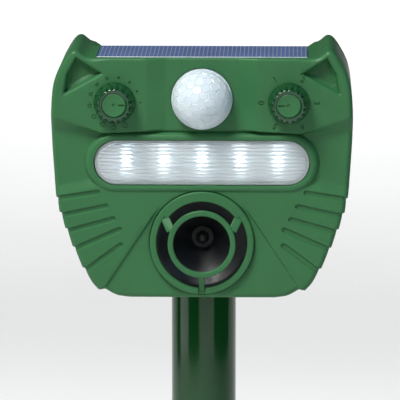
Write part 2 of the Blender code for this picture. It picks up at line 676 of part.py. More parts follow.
def speaker_pieces(black, brass, steel):
    place = (0, 0, SPEAKER_Z)
    mouth = -LOWER_FACE_Y - 0.2 * MM
    back = -HORN_BACK_Y
    count = 7

    def horn_radius(share):
        """Exponential flare from throat to mouth."""
        return HORN_THROAT * (HORN_MOUTH / HORN_THROAT) ** (share**0.7)

    inner = [(horn_radius(i / count), back + (mouth - back) * i / count) for i in range(count + 1)]
    outer = [(r + HORN_WALL, h) for r, h in reversed(inner)]
    flange_front = -FACE_INSIDE_Y - GAP
    seat = [(GRILLE_RADIUS - 0.8 * MM, flange_front), (GRILLE_RADIUS - 0.8 * MM, flange_front - 1.3 * MM)]
    above = [p for p in outer if p[1] > flange_front + 0.2 * MM]
    below = [p for p in outer if back + 2.2 * MM < p[1] < flange_front - 1.5 * MM]
    rim_radius = HORN_MOUTH + HORN_WALL
    wall = [(rim_radius, p[1]) for p in above]
    rear = [(HORN_THROAT + 3 * MM, back + 1.6 * MM), (DRIVER_RADIUS, back + 1.6 * MM), (DRIVER_RADIUS, back)]
    profile = wall + [(rim_radius, flange_front), *seat, (rim_radius - 1.5 * MM, flange_front - 1.3 * MM)]
    profile += below + rear + inner
    finish(turned("speaker_horn", profile, place, closed=True), black)

    plug_back = back + GAP
    plug = [(0, plug_back + 6 * MM), (1.6 * MM, plug_back + 5.4 * MM), (2.6 * MM, plug_back + 3.6 * MM),
            (3.1 * MM, plug_back), (0, plug_back)]
    finish(turned("phase_plug", plug, place, steps=24), black)
    disc = back - GAP
    finish(rod("piezo_disc", DRIVER_RADIUS - 1.6 * MM, disc - 0.6 * MM, disc, place), brass)
    cup_front, cup_back = disc - 0.9 * MM, -DRIVER_BACK_Y
    cup = [(0, cup_back + 1.2 * MM), (DRIVER_RADIUS - 1.4 * MM, cup_back + 1.2 * MM),
           (DRIVER_RADIUS - 1.4 * MM, cup_front), (DRIVER_RADIUS, cup_front), (DRIVER_RADIUS, cup_back),
           (0, cup_back)]
    finish(turned("driver_cup", cup, place), steel)


# ---------------------------------------------------------------- knobs
def knob(name, x, pointer_angle, colour, pivot):
    """A fluted, tapered knob with a dished cap, a pointer groove and a bore for its shaft."""
    foot = FACE_Y - 2 * GAP
    turns = KNOB_FLUTES * 4

    def ring(radius, depth, y):
        points = []
        for i in range(turns):
            a = 2 * math.pi * i / turns
            r = radius - depth * (0.5 + 0.5 * math.cos(KNOB_FLUTES * a))
            points.append((x + r * math.cos(a), y, KNOB_Z + r * math.sin(a)))
        return points

    body = loft(name, [
        ring(KNOB_RADIUS, 0, foot),
        ring(KNOB_RADIUS, 0, foot - 1.2 * MM),
        ring(KNOB_RADIUS - 0.8 * MM, FLUTE_DEPTH, foot - 2 * MM),
        ring(KNOB_TOP_RADIUS, FLUTE_DEPTH, foot - KNOB_HEIGHT),
    ])
    top = -foot + KNOB_HEIGHT
    cut(body, rod("cap_dish", KNOB_TOP_RADIUS - 1 * MM, top - 0.6 * MM, top + 5 * MM, (x, 0, KNOB_Z)))
    bore = rod("knob_bore", SHAFT_RADIUS + GAP, 0, top - 2.6 * MM, (x, 0, KNOB_Z))
    turn = HEAD_PLACE @ Matrix.Translation((x, 0, KNOB_Z)) @ FRONT @ Matrix.Rotation(pointer_angle, 4, "Z")
    slot = box("pointer", (1.2 * MM, -0.35 * MM, top - 1.1 * MM),
               (KNOB_TOP_RADIUS - 1.3 * MM, 0.35 * MM, top + 5 * MM), turn)
    cut(body, bore, slot)
    return finish(body, colour, pivot)


def dial_pieces(name, side, pointer_angle, materials, head):
    """A knob on its shaft, the seal round the shaft, and the rotary part behind the wall."""
    green, steel, rubber, case = materials
    x = side * KNOB_X
    pivot = bpy.data.objects.new(f"{name}_pivot", None)
    PIECES.objects.link(pivot)
    pivot.matrix_world = HEAD_PLACE @ Matrix.Translation((x, FACE_Y, KNOB_Z))
    bpy.context.view_layer.update()
    knob(f"{name}_knob", x, pointer_angle, green, pivot)
    shaft_front = -FACE_Y + KNOB_HEIGHT - 2.6 * MM
    case_front = FACE_Y + 4.6 * MM
    shaft = rod(f"{name}_shaft", SHAFT_RADIUS, -case_front + GAP, shaft_front, (x, 0, KNOB_Z))
    finish(shaft, steel, pivot)
    wall_inside = -(FACE_Y + 2.5 * MM)
    seal = tube(f"{name}_seal", SHAFT_RADIUS + 2.4 * MM, SHAFT_RADIUS + 1.4 * GAP, wall_inside - 1.5 * MM,
                wall_inside - GAP, (x, 0, KNOB_Z), steps=32)
    finish(seal, rubber, head)
    half = DIAL_SIZE / 2
    loop = rounded_rectangle(half, half, 1.5 * MM, x, KNOB_Z)
    finish(prism(f"{name}_dial", [loop], case_front, case_front + 8 * MM), case, head)
    return pivot


# ---------------------------------------------------------------- inside and service parts
def power_pieces(colours, head):
    half_length = CELL_LENGTH / 2
    inside_x, inside_z = half_length + 1 * MM, CELL_PITCH * CELL_COUNT / 2 + 0.6 * MM
    flange_y = REAR_Y - WALL - GAP
    tray_front = BATTERY_Y - CELL_RADIUS - 1.6 * MM
    wall = 1.2 * MM
    ears = rounded_rectangle(DOOR_HALF_WIDTH + 1.6 * MM, DOOR_HALF_HEIGHT + 1.2 * MM, 3 * MM, 0, BATTERY_Z)
    tray = prism("battery_tray", [ears], flange_y - 1.4 * MM, flange_y)
    body = rectangle(inside_x + wall, inside_z + wall, 0, BATTERY_Z)
    join(tray, prism("tray_body", [body], tray_front, flange_y - 0.5 * MM))
    screw_at = [(side * DOOR_SCREW_X, 0, BATTERY_Z) for side in (1, -1)]
    for at in screw_at:
        join(tray, rod("door_boss", 2.6 * MM, REAR_Y - 13 * MM, flange_y - 0.5 * MM, at, BACK, 20))
    hollow = prism("tray_hollow", [rectangle(inside_x, inside_z, 0, BATTERY_Z)], tray_front + wall, 40 * MM)
    cut(tray, hollow)
    for at in screw_at:
        cut(tray, rod("door_pilot", 0.9 * MM + GAP, REAR_Y - 11 * MM, 40 * MM, at, BACK, 16))
    finish(tray, colours["black"])

    for i in range(CELL_COUNT):
        z = BATTERY_Z + (i - (CELL_COUNT - 1) / 2) * CELL_PITCH
        cell = rod(f"battery_cell_{i + 1}", CELL_RADIUS, -half_length, half_length - 1.2 * MM,
                   (0, BATTERY_Y, z), SIDE)
        join(cell, rod("cell_button", 2.7 * MM, half_length - 2 * MM, half_length, (0, BATTERY_Y, z), SIDE, 20))
        finish(cell, colours["wrap"])
    for side, name in ((1, "right"), (-1, "left")):
        near = half_length + GAP
        ends = sorted((side * near, side * (near + 0.4 * MM)))
        reach = inside_z - GAP
        strip = box(f"contact_strip_{name}", (ends[0], BATTERY_Y - 5 * MM, BATTERY_Z - reach),
                    (ends[1], BATTERY_Y + 5 * MM, BATTERY_Z + reach))
        finish(strip, colours["steel"])

    door_y = flange_y + GAP
    door = prism("battery_door", [rounded_rectangle(DOOR_HALF_WIDTH, DOOR_HALF_HEIGHT, 3 * MM, 0, BATTERY_Z)],
                 door_y, REAR_Y)
    for at, name in zip(screw_at, ("right", "left")):
        cut(door, rod("door_hole", 0.9 * MM + GAP, 10 * MM, 30 * MM, at, BACK, 16))
        cut(door, rod("door_sink", 1.9 * MM + GAP, REAR_Y - 1.2 * MM, 30 * MM, at, BACK, 20))
        head_y = REAR_Y - 1.2 * MM + GAP
        profile = [(0, head_y + 0.8 * MM), (1.9 * MM, head_y + 0.8 * MM), (1.9 * MM, head_y),
                   (0.9 * MM, head_y), (0.9 * MM, REAR_Y - 10 * MM), (0, REAR_Y - 10 * MM)]
        screw = turned(f"door_screw_{name}", profile, at, BACK, 16)
        finish(screw, colours["steel"])
    for i in range(6):
        z = BATTERY_Z - 15 * MM + i * 2.4 * MM
        rib = rounded_rectangle(9 * MM, 0.6 * MM, 0.5 * MM, 0, z)
        cut(door, prism("grip_line", [rib], REAR_Y - 0.6 * MM, 40 * MM))
    finish(door, colours["green"])

    usb_y = REAR_Y - WALL - GAP
    shell = rounded_rectangle(4.5 * MM, 1.6 * MM, 1 * MM, USB_X, USB_Z)
    usb = prism("usb_socket", [shell], usb_y - 7 * MM, usb_y)
    inside = rounded_rectangle(4.1 * MM, 1.2 * MM, 0.8 * MM, USB_X, USB_Z)
    cut(usb, prism("usb_inside", [inside], usb_y - 6 * MM, 40 * MM))
    tongue = rectangle(3 * MM, 0.35 * MM, USB_X, USB_Z)
    join(usb, prism("usb_tongue", [tongue], usb_y - 6.5 * MM, usb_y - 1 * MM))
    finish(usb, colours["steel"])
    board = rectangle(9 * MM, 7 * MM, USB_X, USB_Z)
    finish(prism("charge_board", [board], usb_y - 9 * MM, usb_y - 7.4 * MM), colours["board"])
    return usb_cover(colours["rubber"], head)


def usb_cover(rubber, head):
    """A rubber flap with a stub that plugs the port. It folds down on its lower edge."""
    half_x, half_z = USB_COVER_HALF
    pivot = bpy.data.objects.new("usb_cover_pivot", None)
    PIECES.objects.link(pivot)
    pivot.matrix_world = HEAD_PLACE @ Matrix.Translation((USB_X, REAR_Y, USB_Z - half_z))
    bpy.context.view_layer.update()
    pad = rounded_rectangle(half_x, half_z, 1.8 * MM, USB_X, USB_Z)
    flap = prism("usb_cover", [pad], REAR_Y - USB_COVER_THICKNESS, REAR_Y)
    stub = rounded_rectangle(4.2 * MM, 1.3 * MM, 0.8 * MM, USB_X, USB_Z)
    join(flap, prism("stub", [stub], REAR_Y - USB_COVER_THICKNESS - 0.9 * MM, REAR_Y - 0.5 * MM))
    pull = rounded_rectangle(4 * MM, 0.7 * MM, 0.6 * MM, USB_X, USB_Z + half_z - 1.6 * MM)
    join(flap, prism("pull_lip", [pull], REAR_Y - 0.5 * MM, REAR_Y + 0.9 * MM))
    return finish(flap, rubber, pivot)


def electronics(colours):
    back = MAIN_BOARD_Y + BOARD_THICKNESS
    loop = rectangle(*MAIN_BOARD_HALF, 0, MAIN_BOARD_Z)
    board = prism("main_board", [loop], MAIN_BOARD_Y, back)
    for side, name in ((1, "right"), (-1, "left")):
        x, z = side * BOARD_SCREW[0], BOARD_SCREW[1]
        cut(board, rod("board_hole", BOARD_SCREW_RADIUS + GAP, 0, 60 * MM, (x, 0, z), steps=12))
        head = -back - GAP
        profile = [(0, -MAIN_BOARD_Y + 5 * MM), (BOARD_SCREW_RADIUS, -MAIN_BOARD_Y + 4.5 * MM),
                   (BOARD_SCREW_RADIUS, head), (2.1 * MM, head), (1.6 * MM, head - 1.2 * MM),
                   (0, head - 1.2 * MM)]
        finish(turned(f"board_screw_{name}", profile, (x, 0, z), steps=12), colours["steel"])
    finish(board, colours["board"])
    chip_y = back + GAP
    finish(prism("control_chip", [rectangle(6 * MM, 5 * MM, 14 * MM, MAIN_BOARD_Z)], chip_y, chip_y + 1.8 * MM),
           colours["black"])
    coil_at = (-18 * MM, 0, MAIN_BOARD_Z)
    finish(rod("step_up_coil", 5 * MM, chip_y, chip_y + 7 * MM, coil_at, BACK), colours["brass"])


def case_screws(steel):
    for i, (x, z) in enumerate(screw_places()):
        head_back = SCREW_SEAT_Y + GAP + SCREW_HEAD
        profile = [(0, head_back), (SCREW_HEAD_RADIUS - 0.6 * MM, head_back),
                   (SCREW_HEAD_RADIUS, head_back - 0.7 * MM), (SCREW_HEAD_RADIUS, SCREW_SEAT_Y + GAP),
                   (SCREW_RADIUS, SCREW_SEAT_Y + GAP), (SCREW_RADIUS, SCREW_TIP_Y), (0, SCREW_TIP_Y - 1 * MM)]
        finish(turned(f"case_screw_{i + 1}", profile, (x, 0, z), BACK, 12), steel)


# ---------------------------------------------------------------- pole
def pole_pieces(pole_green):
    """Two tube sections and the stake, each plugged into the one above."""
    root = (0, 0, -HEAD_BOTTOM)
    bore = POLE_RADIUS - POLE_WALL
    spigot = bore - GAP
    top = HEAD_BOTTOM + SOCKET_DEPTH - GAP
    chamfer = 1 * MM
    upper = [(bore, top), (POLE_RADIUS - chamfer, top), (POLE_RADIUS, top - chamfer),
             (POLE_RADIUS, POLE_SECTION), (bore, POLE_SECTION)]
    finish(turned("pole_upper", upper, root, UP, 40, closed=True), pole_green)
    shoulder = POLE_SECTION - GAP
    tip = shoulder + SPIGOT_LENGTH
    thin = spigot - POLE_WALL
    foot = COLLAR_THICKNESS + GAP
    lower = [(thin, tip), (spigot - 0.5 * MM, tip), (spigot, tip - chamfer), (spigot, shoulder),
             (POLE_RADIUS, shoulder), (POLE_RADIUS, foot), (bore, foot),
             (bore, shoulder - POLE_WALL * 2), (thin, shoulder - POLE_WALL)]
    finish(turned("pole_lower", lower, root, UP, 40, closed=True), pole_green)

    blade = [(-SPIKE_HALF_WIDTH, 1 * MM), (-SPIKE_HALF_WIDTH, -SPIKE_LENGTH * 0.35), (-1.2 * MM, -SPIKE_LENGTH),
             (1.2 * MM, -SPIKE_LENGTH), (SPIKE_HALF_WIDTH, -SPIKE_LENGTH * 0.35), (SPIKE_HALF_WIDTH, 1 * MM)]
    half = SPIKE_BLADE / 2
    ground = Matrix.Identity(4)
    collar = [(0, foot + SPIGOT_LENGTH), (spigot - 0.5 * MM, foot + SPIGOT_LENGTH),
              (spigot, foot + SPIGOT_LENGTH - chamfer), (spigot, COLLAR_THICKNESS),
              (COLLAR_RADIUS - 0.8 * MM, COLLAR_THICKNESS), (COLLAR_RADIUS, COLLAR_THICKNESS - 0.8 * MM),
              (COLLAR_RADIUS, 0), (0, 0)]
    stake = turned("ground_stake", collar, root, UP, 40)
    join(stake, prism("blade_x", [blade], -half, half, FRONT, ground))
    join(stake, prism("blade_y", [blade], -half, half, SIDE, ground))
    return finish(stake, pole_green)


PIECES, CUTTERS = start_scene()


def main():
    green = material("moulded_green", "3f6d4a", 0.38)
    knob_green = material("knob_green", "185430", 0.22)
    pole_green = material("pole_green", "1e4a2a", 0.25)
    colours = {
        "green": green,
        "black": material("black_plastic", "15181b", 0.35),
        "steel": material("steel", "b8babc", 0.3, 1.0),
        "brass": material("brass", "c9a55a", 0.35, 1.0),
        "rubber": material("rubber", "1d1f20", 0.7),
        "board": material("circuit_board", "1d5c38", 0.45),
        "wrap": material("battery_wrap", "2f6fb0", 0.4),
    }
    white = material("milky_lens", "e4eaec", 0.3)
    clear = material("clear_lens", "e8eef0", 0.08, alpha=0.5)
    head = bpy.data.objects.new("head", None)
    PIECES.objects.link(head)
    head.matrix_world = HEAD_PLACE
    bpy.context.view_layer.update()

    finish(front_shell(), green)
    finish(rear_shell(), green)
    finish(shell_gasket(), colours["rubber"])
    glass, silicon = material("solar_glass", "6f86a8", 0.1, alpha=0.35), material("silicon", "27305a", 0.2)
    solar_pieces(green, glass, silicon)
    sensor_pieces(white, colours["rubber"], colours["steel"])
    chrome, led_white = material("reflector", "d8dadc", 0.12, 1.0), material("led", "fdfdf6", 0.2)
    lamp_pieces(clear, chrome, colours["board"], led_white)
    grille(green)
    speaker_pieces(colours["black"], colours["brass"], colours["steel"])
    dial = (knob_green, colours["steel"], colours["rubber"], colours["black"])
    dial_pieces("sensitivity", -1, 0.0, dial, head)
    dial_pieces("mode", 1, math.pi, dial, head)
    power_pieces(colours, head)
    electronics(colours)
    case_screws(colours["steel"])
    pole_pieces(pole_green)


main()
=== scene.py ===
"""Finished surfaces of a solar ultrasonic animal repeller, built around its packed frame."""

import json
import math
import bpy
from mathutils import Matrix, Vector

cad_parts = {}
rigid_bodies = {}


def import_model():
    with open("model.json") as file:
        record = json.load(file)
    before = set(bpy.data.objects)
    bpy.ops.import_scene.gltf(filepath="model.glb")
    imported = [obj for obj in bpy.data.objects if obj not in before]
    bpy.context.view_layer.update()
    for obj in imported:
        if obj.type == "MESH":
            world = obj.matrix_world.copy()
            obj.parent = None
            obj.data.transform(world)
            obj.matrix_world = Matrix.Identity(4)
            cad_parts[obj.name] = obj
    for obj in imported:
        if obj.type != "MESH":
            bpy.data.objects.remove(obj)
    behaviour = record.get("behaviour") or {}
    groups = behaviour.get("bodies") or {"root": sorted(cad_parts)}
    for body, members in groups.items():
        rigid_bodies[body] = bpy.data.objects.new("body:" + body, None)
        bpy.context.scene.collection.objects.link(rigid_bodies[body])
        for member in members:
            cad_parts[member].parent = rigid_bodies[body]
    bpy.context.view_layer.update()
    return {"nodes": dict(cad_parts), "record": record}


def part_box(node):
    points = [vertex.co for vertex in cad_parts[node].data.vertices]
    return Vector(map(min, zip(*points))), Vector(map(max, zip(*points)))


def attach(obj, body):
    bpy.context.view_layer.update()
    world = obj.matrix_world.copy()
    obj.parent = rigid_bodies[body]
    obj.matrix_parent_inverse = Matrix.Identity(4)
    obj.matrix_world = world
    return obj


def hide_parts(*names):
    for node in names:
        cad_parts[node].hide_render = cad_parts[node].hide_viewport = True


bl_info = {
    "name": "Solar animal repeller",
    "version": (1, 0, 0),
    "blender": (4, 5, 0),
    "location": "View3D > Sidebar > Repeller",
    "description": "Builds the finished surfaces of a solar ultrasonic animal repeller",
    "category": "Object",
}

import bmesh
import bpy
import numpy as np
from mathutils import Matrix, Vector, geometry
from mathutils.kdtree import KDTree

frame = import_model()
MM = 0.001


def corner(node, top=False):
    """A node's lowest or highest corner, in millimetres."""
    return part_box(node)[1 if top else 0] / MM


def middle(node):
    return (corner(node) + corner(node, True)) / 2


# ---- places and sizes of the frame, in millimetres; heights on the head count from its underside ----
HEAD_Z = corner("front_shell").z
FACE_Y = corner("front_shell").y
FRONT_BACK_Y = corner("front_shell", True).y
REAR_FRONT_Y = corner("rear_shell").y
REAR_Y = corner("rear_shell", True).y
LAMP_Z = middle("lamp_board").z - HEAD_Z
LENS_HALF = corner("lamp_board", True).x
LENS_RADIUS = corner("lamp_board", True).z - HEAD_Z - LAMP_Z
LENS_Y = corner("lamp_lens").y
SENSOR_Z = middle("sensor_can").z - HEAD_Z
DOME_FLANGE = 2.8
DOME_RADIUS = corner("sensor_dome", True).x - DOME_FLANGE
DOME_CENTRE_Y = corner("sensor_dome").y + DOME_RADIUS
KNOB_X = middle("mode_knob").x
KNOB_Z = middle("mode_knob").z - HEAD_Z
KNOB_RADIUS = corner("mode_knob", True).x - KNOB_X
SPEAKER_Z = middle("speaker_grille").z - HEAD_Z
GRILLE_RADIUS = corner("speaker_grille", True).x
TRAY_LOW = corner("solar_tray")
TRAY_HIGH = corner("solar_tray", True)
POLE_RADIUS = corner("pole_upper", True).x
GAP = 0.3
WALL = 2.2
CAVITY_TOP = TRAY_LOW.z - HEAD_Z - 1.8
FACE_INSIDE_Y = FACE_Y + 6.5
LENS_FLANGE = 2.4
SOCKET_DEPTH = 32
SOCKET_BORE = POLE_RADIUS + GAP
SOCKET_OUTER = SOCKET_BORE + WALL
COLUMN_RADIUS = 4.2
COLUMN_PLACES = ("case_screw_1", "case_screw_2", "case_screw_3", "case_screw_4")
LED_HOLE = 3.1
DISH_RADIUS = 8.6
DOT_COUNT = 12
SOLID_DOTS = 4  # the larger marks after these are rings
DOT_TURN = 26.8
SCALE_RADIUS = 12.2
SPEAKER_SEAT = 4.0
HORN_HOLE = 23.1
SHAFT_HOLE = 3.6

# ---- the face's relief, as heights before (+) or behind (-) the brow's plane ----
SIDE_LEVEL = -4.0
CENTRE_LEVEL = -3.0
CHEEK_LEVEL = -2.0
CHIN_LEVEL = -3.0
BEZEL_LEVEL = -1.0
CENTRE_FLAT = 17.4
CENTRE_EDGE = 26.9
CHIN_POINTS = [(35.5, 0.05), (41.8, 1.1), (47.4, 4.1)]
CHEEK_POINTS = [(50.4, 3.7), (54.9, 8.7), (60.6, 19.3), (65.1, 29.9), (68.3, 38.6), (70.4, 45.7),
                (71.4, 52.8)]
SIDE_POINTS = [(72, 61), (73, 77), (73.3, 89.5), (72.7, 100.9), (71.6, 107.2), (69.7, 112.2),
               (67.8, 115.7), (65.7, 119.1)]
EAR_POINTS = [(64.2, 120.9), (62.9, 121.95), (61.4, 122.3), (60, 121.8), (58.2, 120.3), (56.4, 119.1),
              (54, 118.55), (51.4, 118.42)]
TOP_Z = 118.4
REAR_TOP_Z = TOP_Z - 2.4
TOP_EDGE_Z = 107  # above this height the face's edge is sharper
NOTCH_DEPTH = 0.9
NOTCH_LEVELS = [49.4, 42.2, 34.2, 24.9, 14.6]
CHEEK_FOOT = 4.0
BROW_LINE = [(0, 85.1), (17.6, 85), (27.8, 82.8), (48.3, 81.9), (63, 86.8), (80, 92.5)]
BROW_FOOT = 81.9
CHEEK_TOP = [(57.1, 58.5), (69.2, 55.7)]
CREASE = [(25.3, 37.8), (47.5, 4.3)]
EAR_RECESS = [(61.1, 119.7), (46.9, 110.7), (68.2, 99), (66.3, 110.4)]
EAR_HEART = (58.7, 111.2)
# Each finger groove's inner end, and the angle below level at which it runs outwards.
GROOVE_RUN = 45
GROOVES = [((50.8, 52.3), 9), ((46.7, 45.5), 12), ((43.3, 39.2), 15.5), ((40.3, 34), 24),
           ((39.7, 26.3), 36.5)]


def srgb_to_linear(value):
    return value / 12.92 if value <= 0.04045 else ((value + 0.055) / 1.055) ** 2.4


def linear(hex_colour, alpha=True):
    """A sRGB hex value as linear channels."""
    channels = [srgb_to_linear(int(hex_colour[i : i + 2], 16) / 255) for i in (0, 2, 4)]
    return (*channels, 1.0) if alpha else tuple(channels)


# ------------------------------------------------------------------ sizes and colours that a user changes
def length(name, description, millimetres):
    return bpy.props.FloatProperty(name=name, description=description, default=millimetres * MM, min=0,
                                   unit="LENGTH", precision=5)


def colour(name, description, hex_colour):
    return bpy.props.FloatVectorProperty(name=name, description=description, size=3, subtype="COLOR",
                                         min=0, max=1, default=linear(hex_colour, False))


class RepellerSizes(bpy.types.PropertyGroup):
    edge_round: length("Face edge", "Radius of the face's outer edge", 2.5)
    back_round: length("Back edge", "Radius of the back's outer edge", 4.5)
    groove_width: length("Groove width", "Width of a finger groove in the cheeks", 2.9)
    groove_depth: length("Groove depth", "Depth of a finger groove in the cheeks", 0.9)
    ear_depth: length("Ear depth", "Depth of the hollow in an ear", 5)
    rib_pitch: length("Rib pitch", "Spacing of the lamp lens's ribs", 1.75)
    rib_height: length("Rib height", "Height of the lamp lens's ribs", 0.5)
    mark_depth: length("Mark depth", "Depth of the dials' engraved marks", 0.6)
    facet_groove: length("Facet groove", "Depth of the grooves between the dome's lenses", 0.34)
    flutes: bpy.props.IntProperty(name="Flutes", description="Flutes round a knob", default=17, min=6)


class RepellerColours(bpy.types.PropertyGroup):
    shell: colour("Shell", "Moulded green of the head", "346840")
    knob: colour("Knobs", "Darker green of the knobs", "0a3d1e")
    pole: colour("Pole", "Deep green of the pole and stake", "0a3f19")
    dome: colour("Dome", "Milky white of the sensor's dome", "ccd7de")
    # The cells' blue is lighter than silicon's own: it paints the reflection of a bright sky at a grazing
    # view.
    cell: colour("Solar cells", "Blue of the silicon", "5f80c4")


# ------------------------------------------------------------------ materials
def add_node(tree, kind, links=None, **settings):
    """Adds a node with its settings. links gives each input a value, or a socket to take it from."""
    node = tree.nodes.new(kind)
    for key, value in settings.items():
        setattr(node, key, value)
    for key, value in (links or {}).items():
        if isinstance(value, bpy.types.NodeSocket):
            tree.links.new(value, node.inputs[key])
        else:
            node.inputs[key].default_value = value
    return node


def start_material(name, base, roughness, metallic=0.0, ior=1.5, **inputs):
    """A Principled material and its Object coordinates."""
    made = bpy.data.materials.new(name)
    made.use_nodes = True
    tree = made.node_tree
    shader = tree.nodes["Principled BSDF"]
    shader.inputs["Base Color"].default_value = base if len(base) == 4 else (*base, 1)
    shader.inputs["Roughness"].default_value = roughness
    shader.inputs["Metallic"].default_value = metallic
    if not metallic:
        shader.inputs["IOR"].default_value = ior
    for key, value in inputs.items():
        shader.inputs[key.replace("_", " ")].default_value = value
    place = add_node(tree, "ShaderNodeTexCoord").outputs["Object"]
    return made, tree, shader, place


def noise(tree, vector, size_mm, detail=2.0, **extra):
    """Cloudy noise whose features are about that many millimetres across."""
    links = {"Vector": vector, "Scale": 1 / (size_mm * MM), "Detail": detail, **extra}
    return add_node(tree, "ShaderNodeTexNoise", links).outputs["Fac"]


def stretch(tree, place, scale):
    return add_node(tree, "ShaderNodeMapping", {"Vector": place, "Scale": scale}).outputs["Vector"]


def add_bump(tree, shader, height, strength, distance_mm):
    links = {"Height": height, "Strength": strength, "Distance": distance_mm * MM}
    tree.links.new(add_node(tree, "ShaderNodeBump", links).outputs["Normal"], shader.inputs["Normal"])


def tint(tree, factor, dark, light):
    """A colour between two, by a factor that is spread over the middle of its range."""
    ramp = add_node(tree, "ShaderNodeValToRGB", {"Fac": factor})
    ramp.color_ramp.elements[0].position = 0.3
    ramp.color_ramp.elements[0].color = dark
    ramp.color_ramp.elements[1].position = 0.7
    ramp.color_ramp.elements[1].color = light
    return ramp.outputs["Color"]


def vary_colour(tree, shader, factor, dark, light):
    tree.links.new(tint(tree, factor, dark, light), shader.inputs["Base Color"])


def vary_roughness(tree, shader, factor, low, high, start=0.0, end=1.0):
    """Moves the roughness from low to high as a factor goes from start to end."""
    spread = add_node(tree, "ShaderNodeMapRange", {"Value": factor, "From Min": start, "From Max": end,
                                                   "To Min": low, "To Max": high})
    tree.links.new(spread.outputs["Result"], shader.inputs["Roughness"])


def scaled(base, factor):
    return tuple(min(1.0, c * factor) for c in base[:3]) + (1.0,)


def moulded_abs(name, base, roughness, grain=0.05, coat=0.0, specular=0.2):
    """Injection-moulded ABS from a spark-eroded mould: satin, with a fine even grain, faint flow
    marks in its gloss, and a colour that drifts a few per cent across the part."""
    made, tree, shader, place = start_material(name, base, roughness, ior=1.53, Coat_Weight=coat,
                                               Coat_Roughness=0.12, Specular_IOR_Level=specular)
    flow = noise(tree, place, 28, 3.0, Distortion=0.6)
    vary_colour(tree, shader, flow, scaled(base, 0.94), scaled(base, 1.05))
    vary_roughness(tree, shader, flow, roughness - 0.04, roughness + 0.05, 0.3, 0.7)
    # The real grain is about 0.1 mm, too fine to show, so it is drawn at 0.45 mm.
    add_bump(tree, shader, noise(tree, place, 0.45), 0.5, grain)
    return made


def extruded_gloss(name, base):
    """Extruded and polished plastic tube: deep gloss, with faint lines along the way it was drawn."""
    made, tree, shader, place = start_material(name, base, 0.1, ior=1.48)
    vary_roughness(tree, shader, noise(tree, place, 35, 4.0), 0.07, 0.15)
    add_bump(tree, shader, noise(tree, stretch(tree, place, (1.0, 1.0, 0.02)), 0.9), 0.3, 0.012)
    return made


def milky_polyethylene(name, base):
    """Moulded high-density polyethylene, which lets heat through: waxy white, light glows in it."""
    made, tree, shader, place = start_material(name, base, 0.3, ior=1.54, Subsurface_Weight=0.35,
                                               Subsurface_Radius=(0.004, 0.005, 0.006),
                                               Subsurface_Scale=0.25)
    vary_colour(tree, shader, noise(tree, place, 5, 3.0), scaled(base, 0.96), scaled(base, 1.03))
    # The rings of each small Fresnel lens, 0.6 mm apart on the real dome, show as a fine ripple.
    add_bump(tree, shader, noise(tree, place, 0.8, 1.0), 0.25, 0.03)
    return made


def clear_polycarbonate(name):
    """Clear moulded polycarbonate, a little hazy inside, so that it glows over the lamp."""
    made, tree, shader, place = start_material(name, linear("eef4f6"), 0.1, ior=1.58,
                                               Transmission_Weight=0.7, Coat_Weight=0.8,
                                               Coat_Roughness=0.06)
    vary_roughness(tree, shader, noise(tree, place, 9, 3.0), 0.18, 0.24)
    return made


def lit_epoxy(name):
    """White LED epoxy, lit."""
    made, tree, shader, place = start_material(name, linear("fffdf4"), 0.25,
                                               Emission_Color=linear("e9f4ff"), Emission_Strength=12.0)
    add_bump(tree, shader, noise(tree, place, 1.2), 0.1, 0.02)
    return made


def metallised(name):
    """Vacuum-metallised plastic: bright and soft, because the plastic under it isn't polished."""
    made, tree, shader, place = start_material(name, linear("eceff1"), 0.34, metallic=0.75)
    add_bump(tree, shader, noise(tree, place, 3, 3.0), 0.3, 0.05)
    return made


def black_abs(name):
    """Black ABS whose polish is dulled, in places more, by a faint haze of dust."""
    made, tree, shader, place = start_material(name, linear("0c0e10"), 0.38, Specular_IOR_Level=0.3)
    dust = noise(tree, place, 6, 6.0, Roughness=0.65)
    vary_roughness(tree, shader, dust, 0.38, 0.6, 0.35, 0.75)
    vary_colour(tree, shader, dust, linear("0b0d10"), linear("14171a"))
    return made


def solar_cell(name, base, cover=0.0):
    """Coated monocrystalline silicon: blue, with printed silver fingers 2 mm apart. Bare cells also
    show their bars, and covered ones have a clear epoxy coat."""
    made, tree, shader, place = start_material(name, base, 0.28, Coat_Weight=cover, Coat_Roughness=0.06)
    parts = add_node(tree, "ShaderNodeSeparateXYZ", {"Vector": place})

    def stripes(axis, pitch_mm, width_mm):
        """One on a line and nothing between the lines."""
        cycle = add_node(tree, "ShaderNodeMath", {0: parts.outputs[axis], 1: pitch_mm * MM, 2: 0.0},
                         operation="WRAP")
        return add_node(tree, "ShaderNodeMath", {0: cycle.outputs[0], 1: width_mm * MM},
                        operation="LESS_THAN").outputs[0]

    printed = stripes("X", 2.0, 0.42)
    if not cover:
        printed = add_node(tree, "ShaderNodeMath", {0: printed, 1: stripes("Y", 13.0, 0.9)},
                           operation="MAXIMUM").outputs[0]
    # The blue is partly the silicon's own and partly painted reflection of the sky; the fingers' silver is
    # tinted blue in the same way. Noise varies the blue a little.
    blue = tint(tree, noise(tree, place, 12), scaled(base, 0.85), scaled(base, 1.2))
    silver = add_node(tree, "ShaderNodeMix", {0: printed, 6: blue, 7: linear("b4c2e0")}, data_type="RGBA")
    tree.links.new(silver.outputs[2], shader.inputs["Base Color"])
    return made


def plated_steel(name):
    """Zinc-plated steel, rolled: fine brushed grain along X and a slight yellow cast."""
    made, tree, shader, place = start_material(name, linear("b9bcbb"), 0.3, metallic=1.0)
    grain = noise(tree, stretch(tree, place, (0.06, 1.0, 1.0)), 0.3, 3.0)
    vary_colour(tree, shader, grain, linear("a3a6a3"), linear("c6c9c8"))
    add_bump(tree, shader, grain, 0.25, 0.015)
    return made


def rolled_brass(name):
    """Rolled brass with a light tarnish in clouds."""
    made, tree, shader, place = start_material(name, linear("c8a357"), 0.32, metallic=1.0)
    vary_colour(tree, shader, noise(tree, place, 4, 4.0), linear("9c7c41"), linear("d1af64"))
    return made


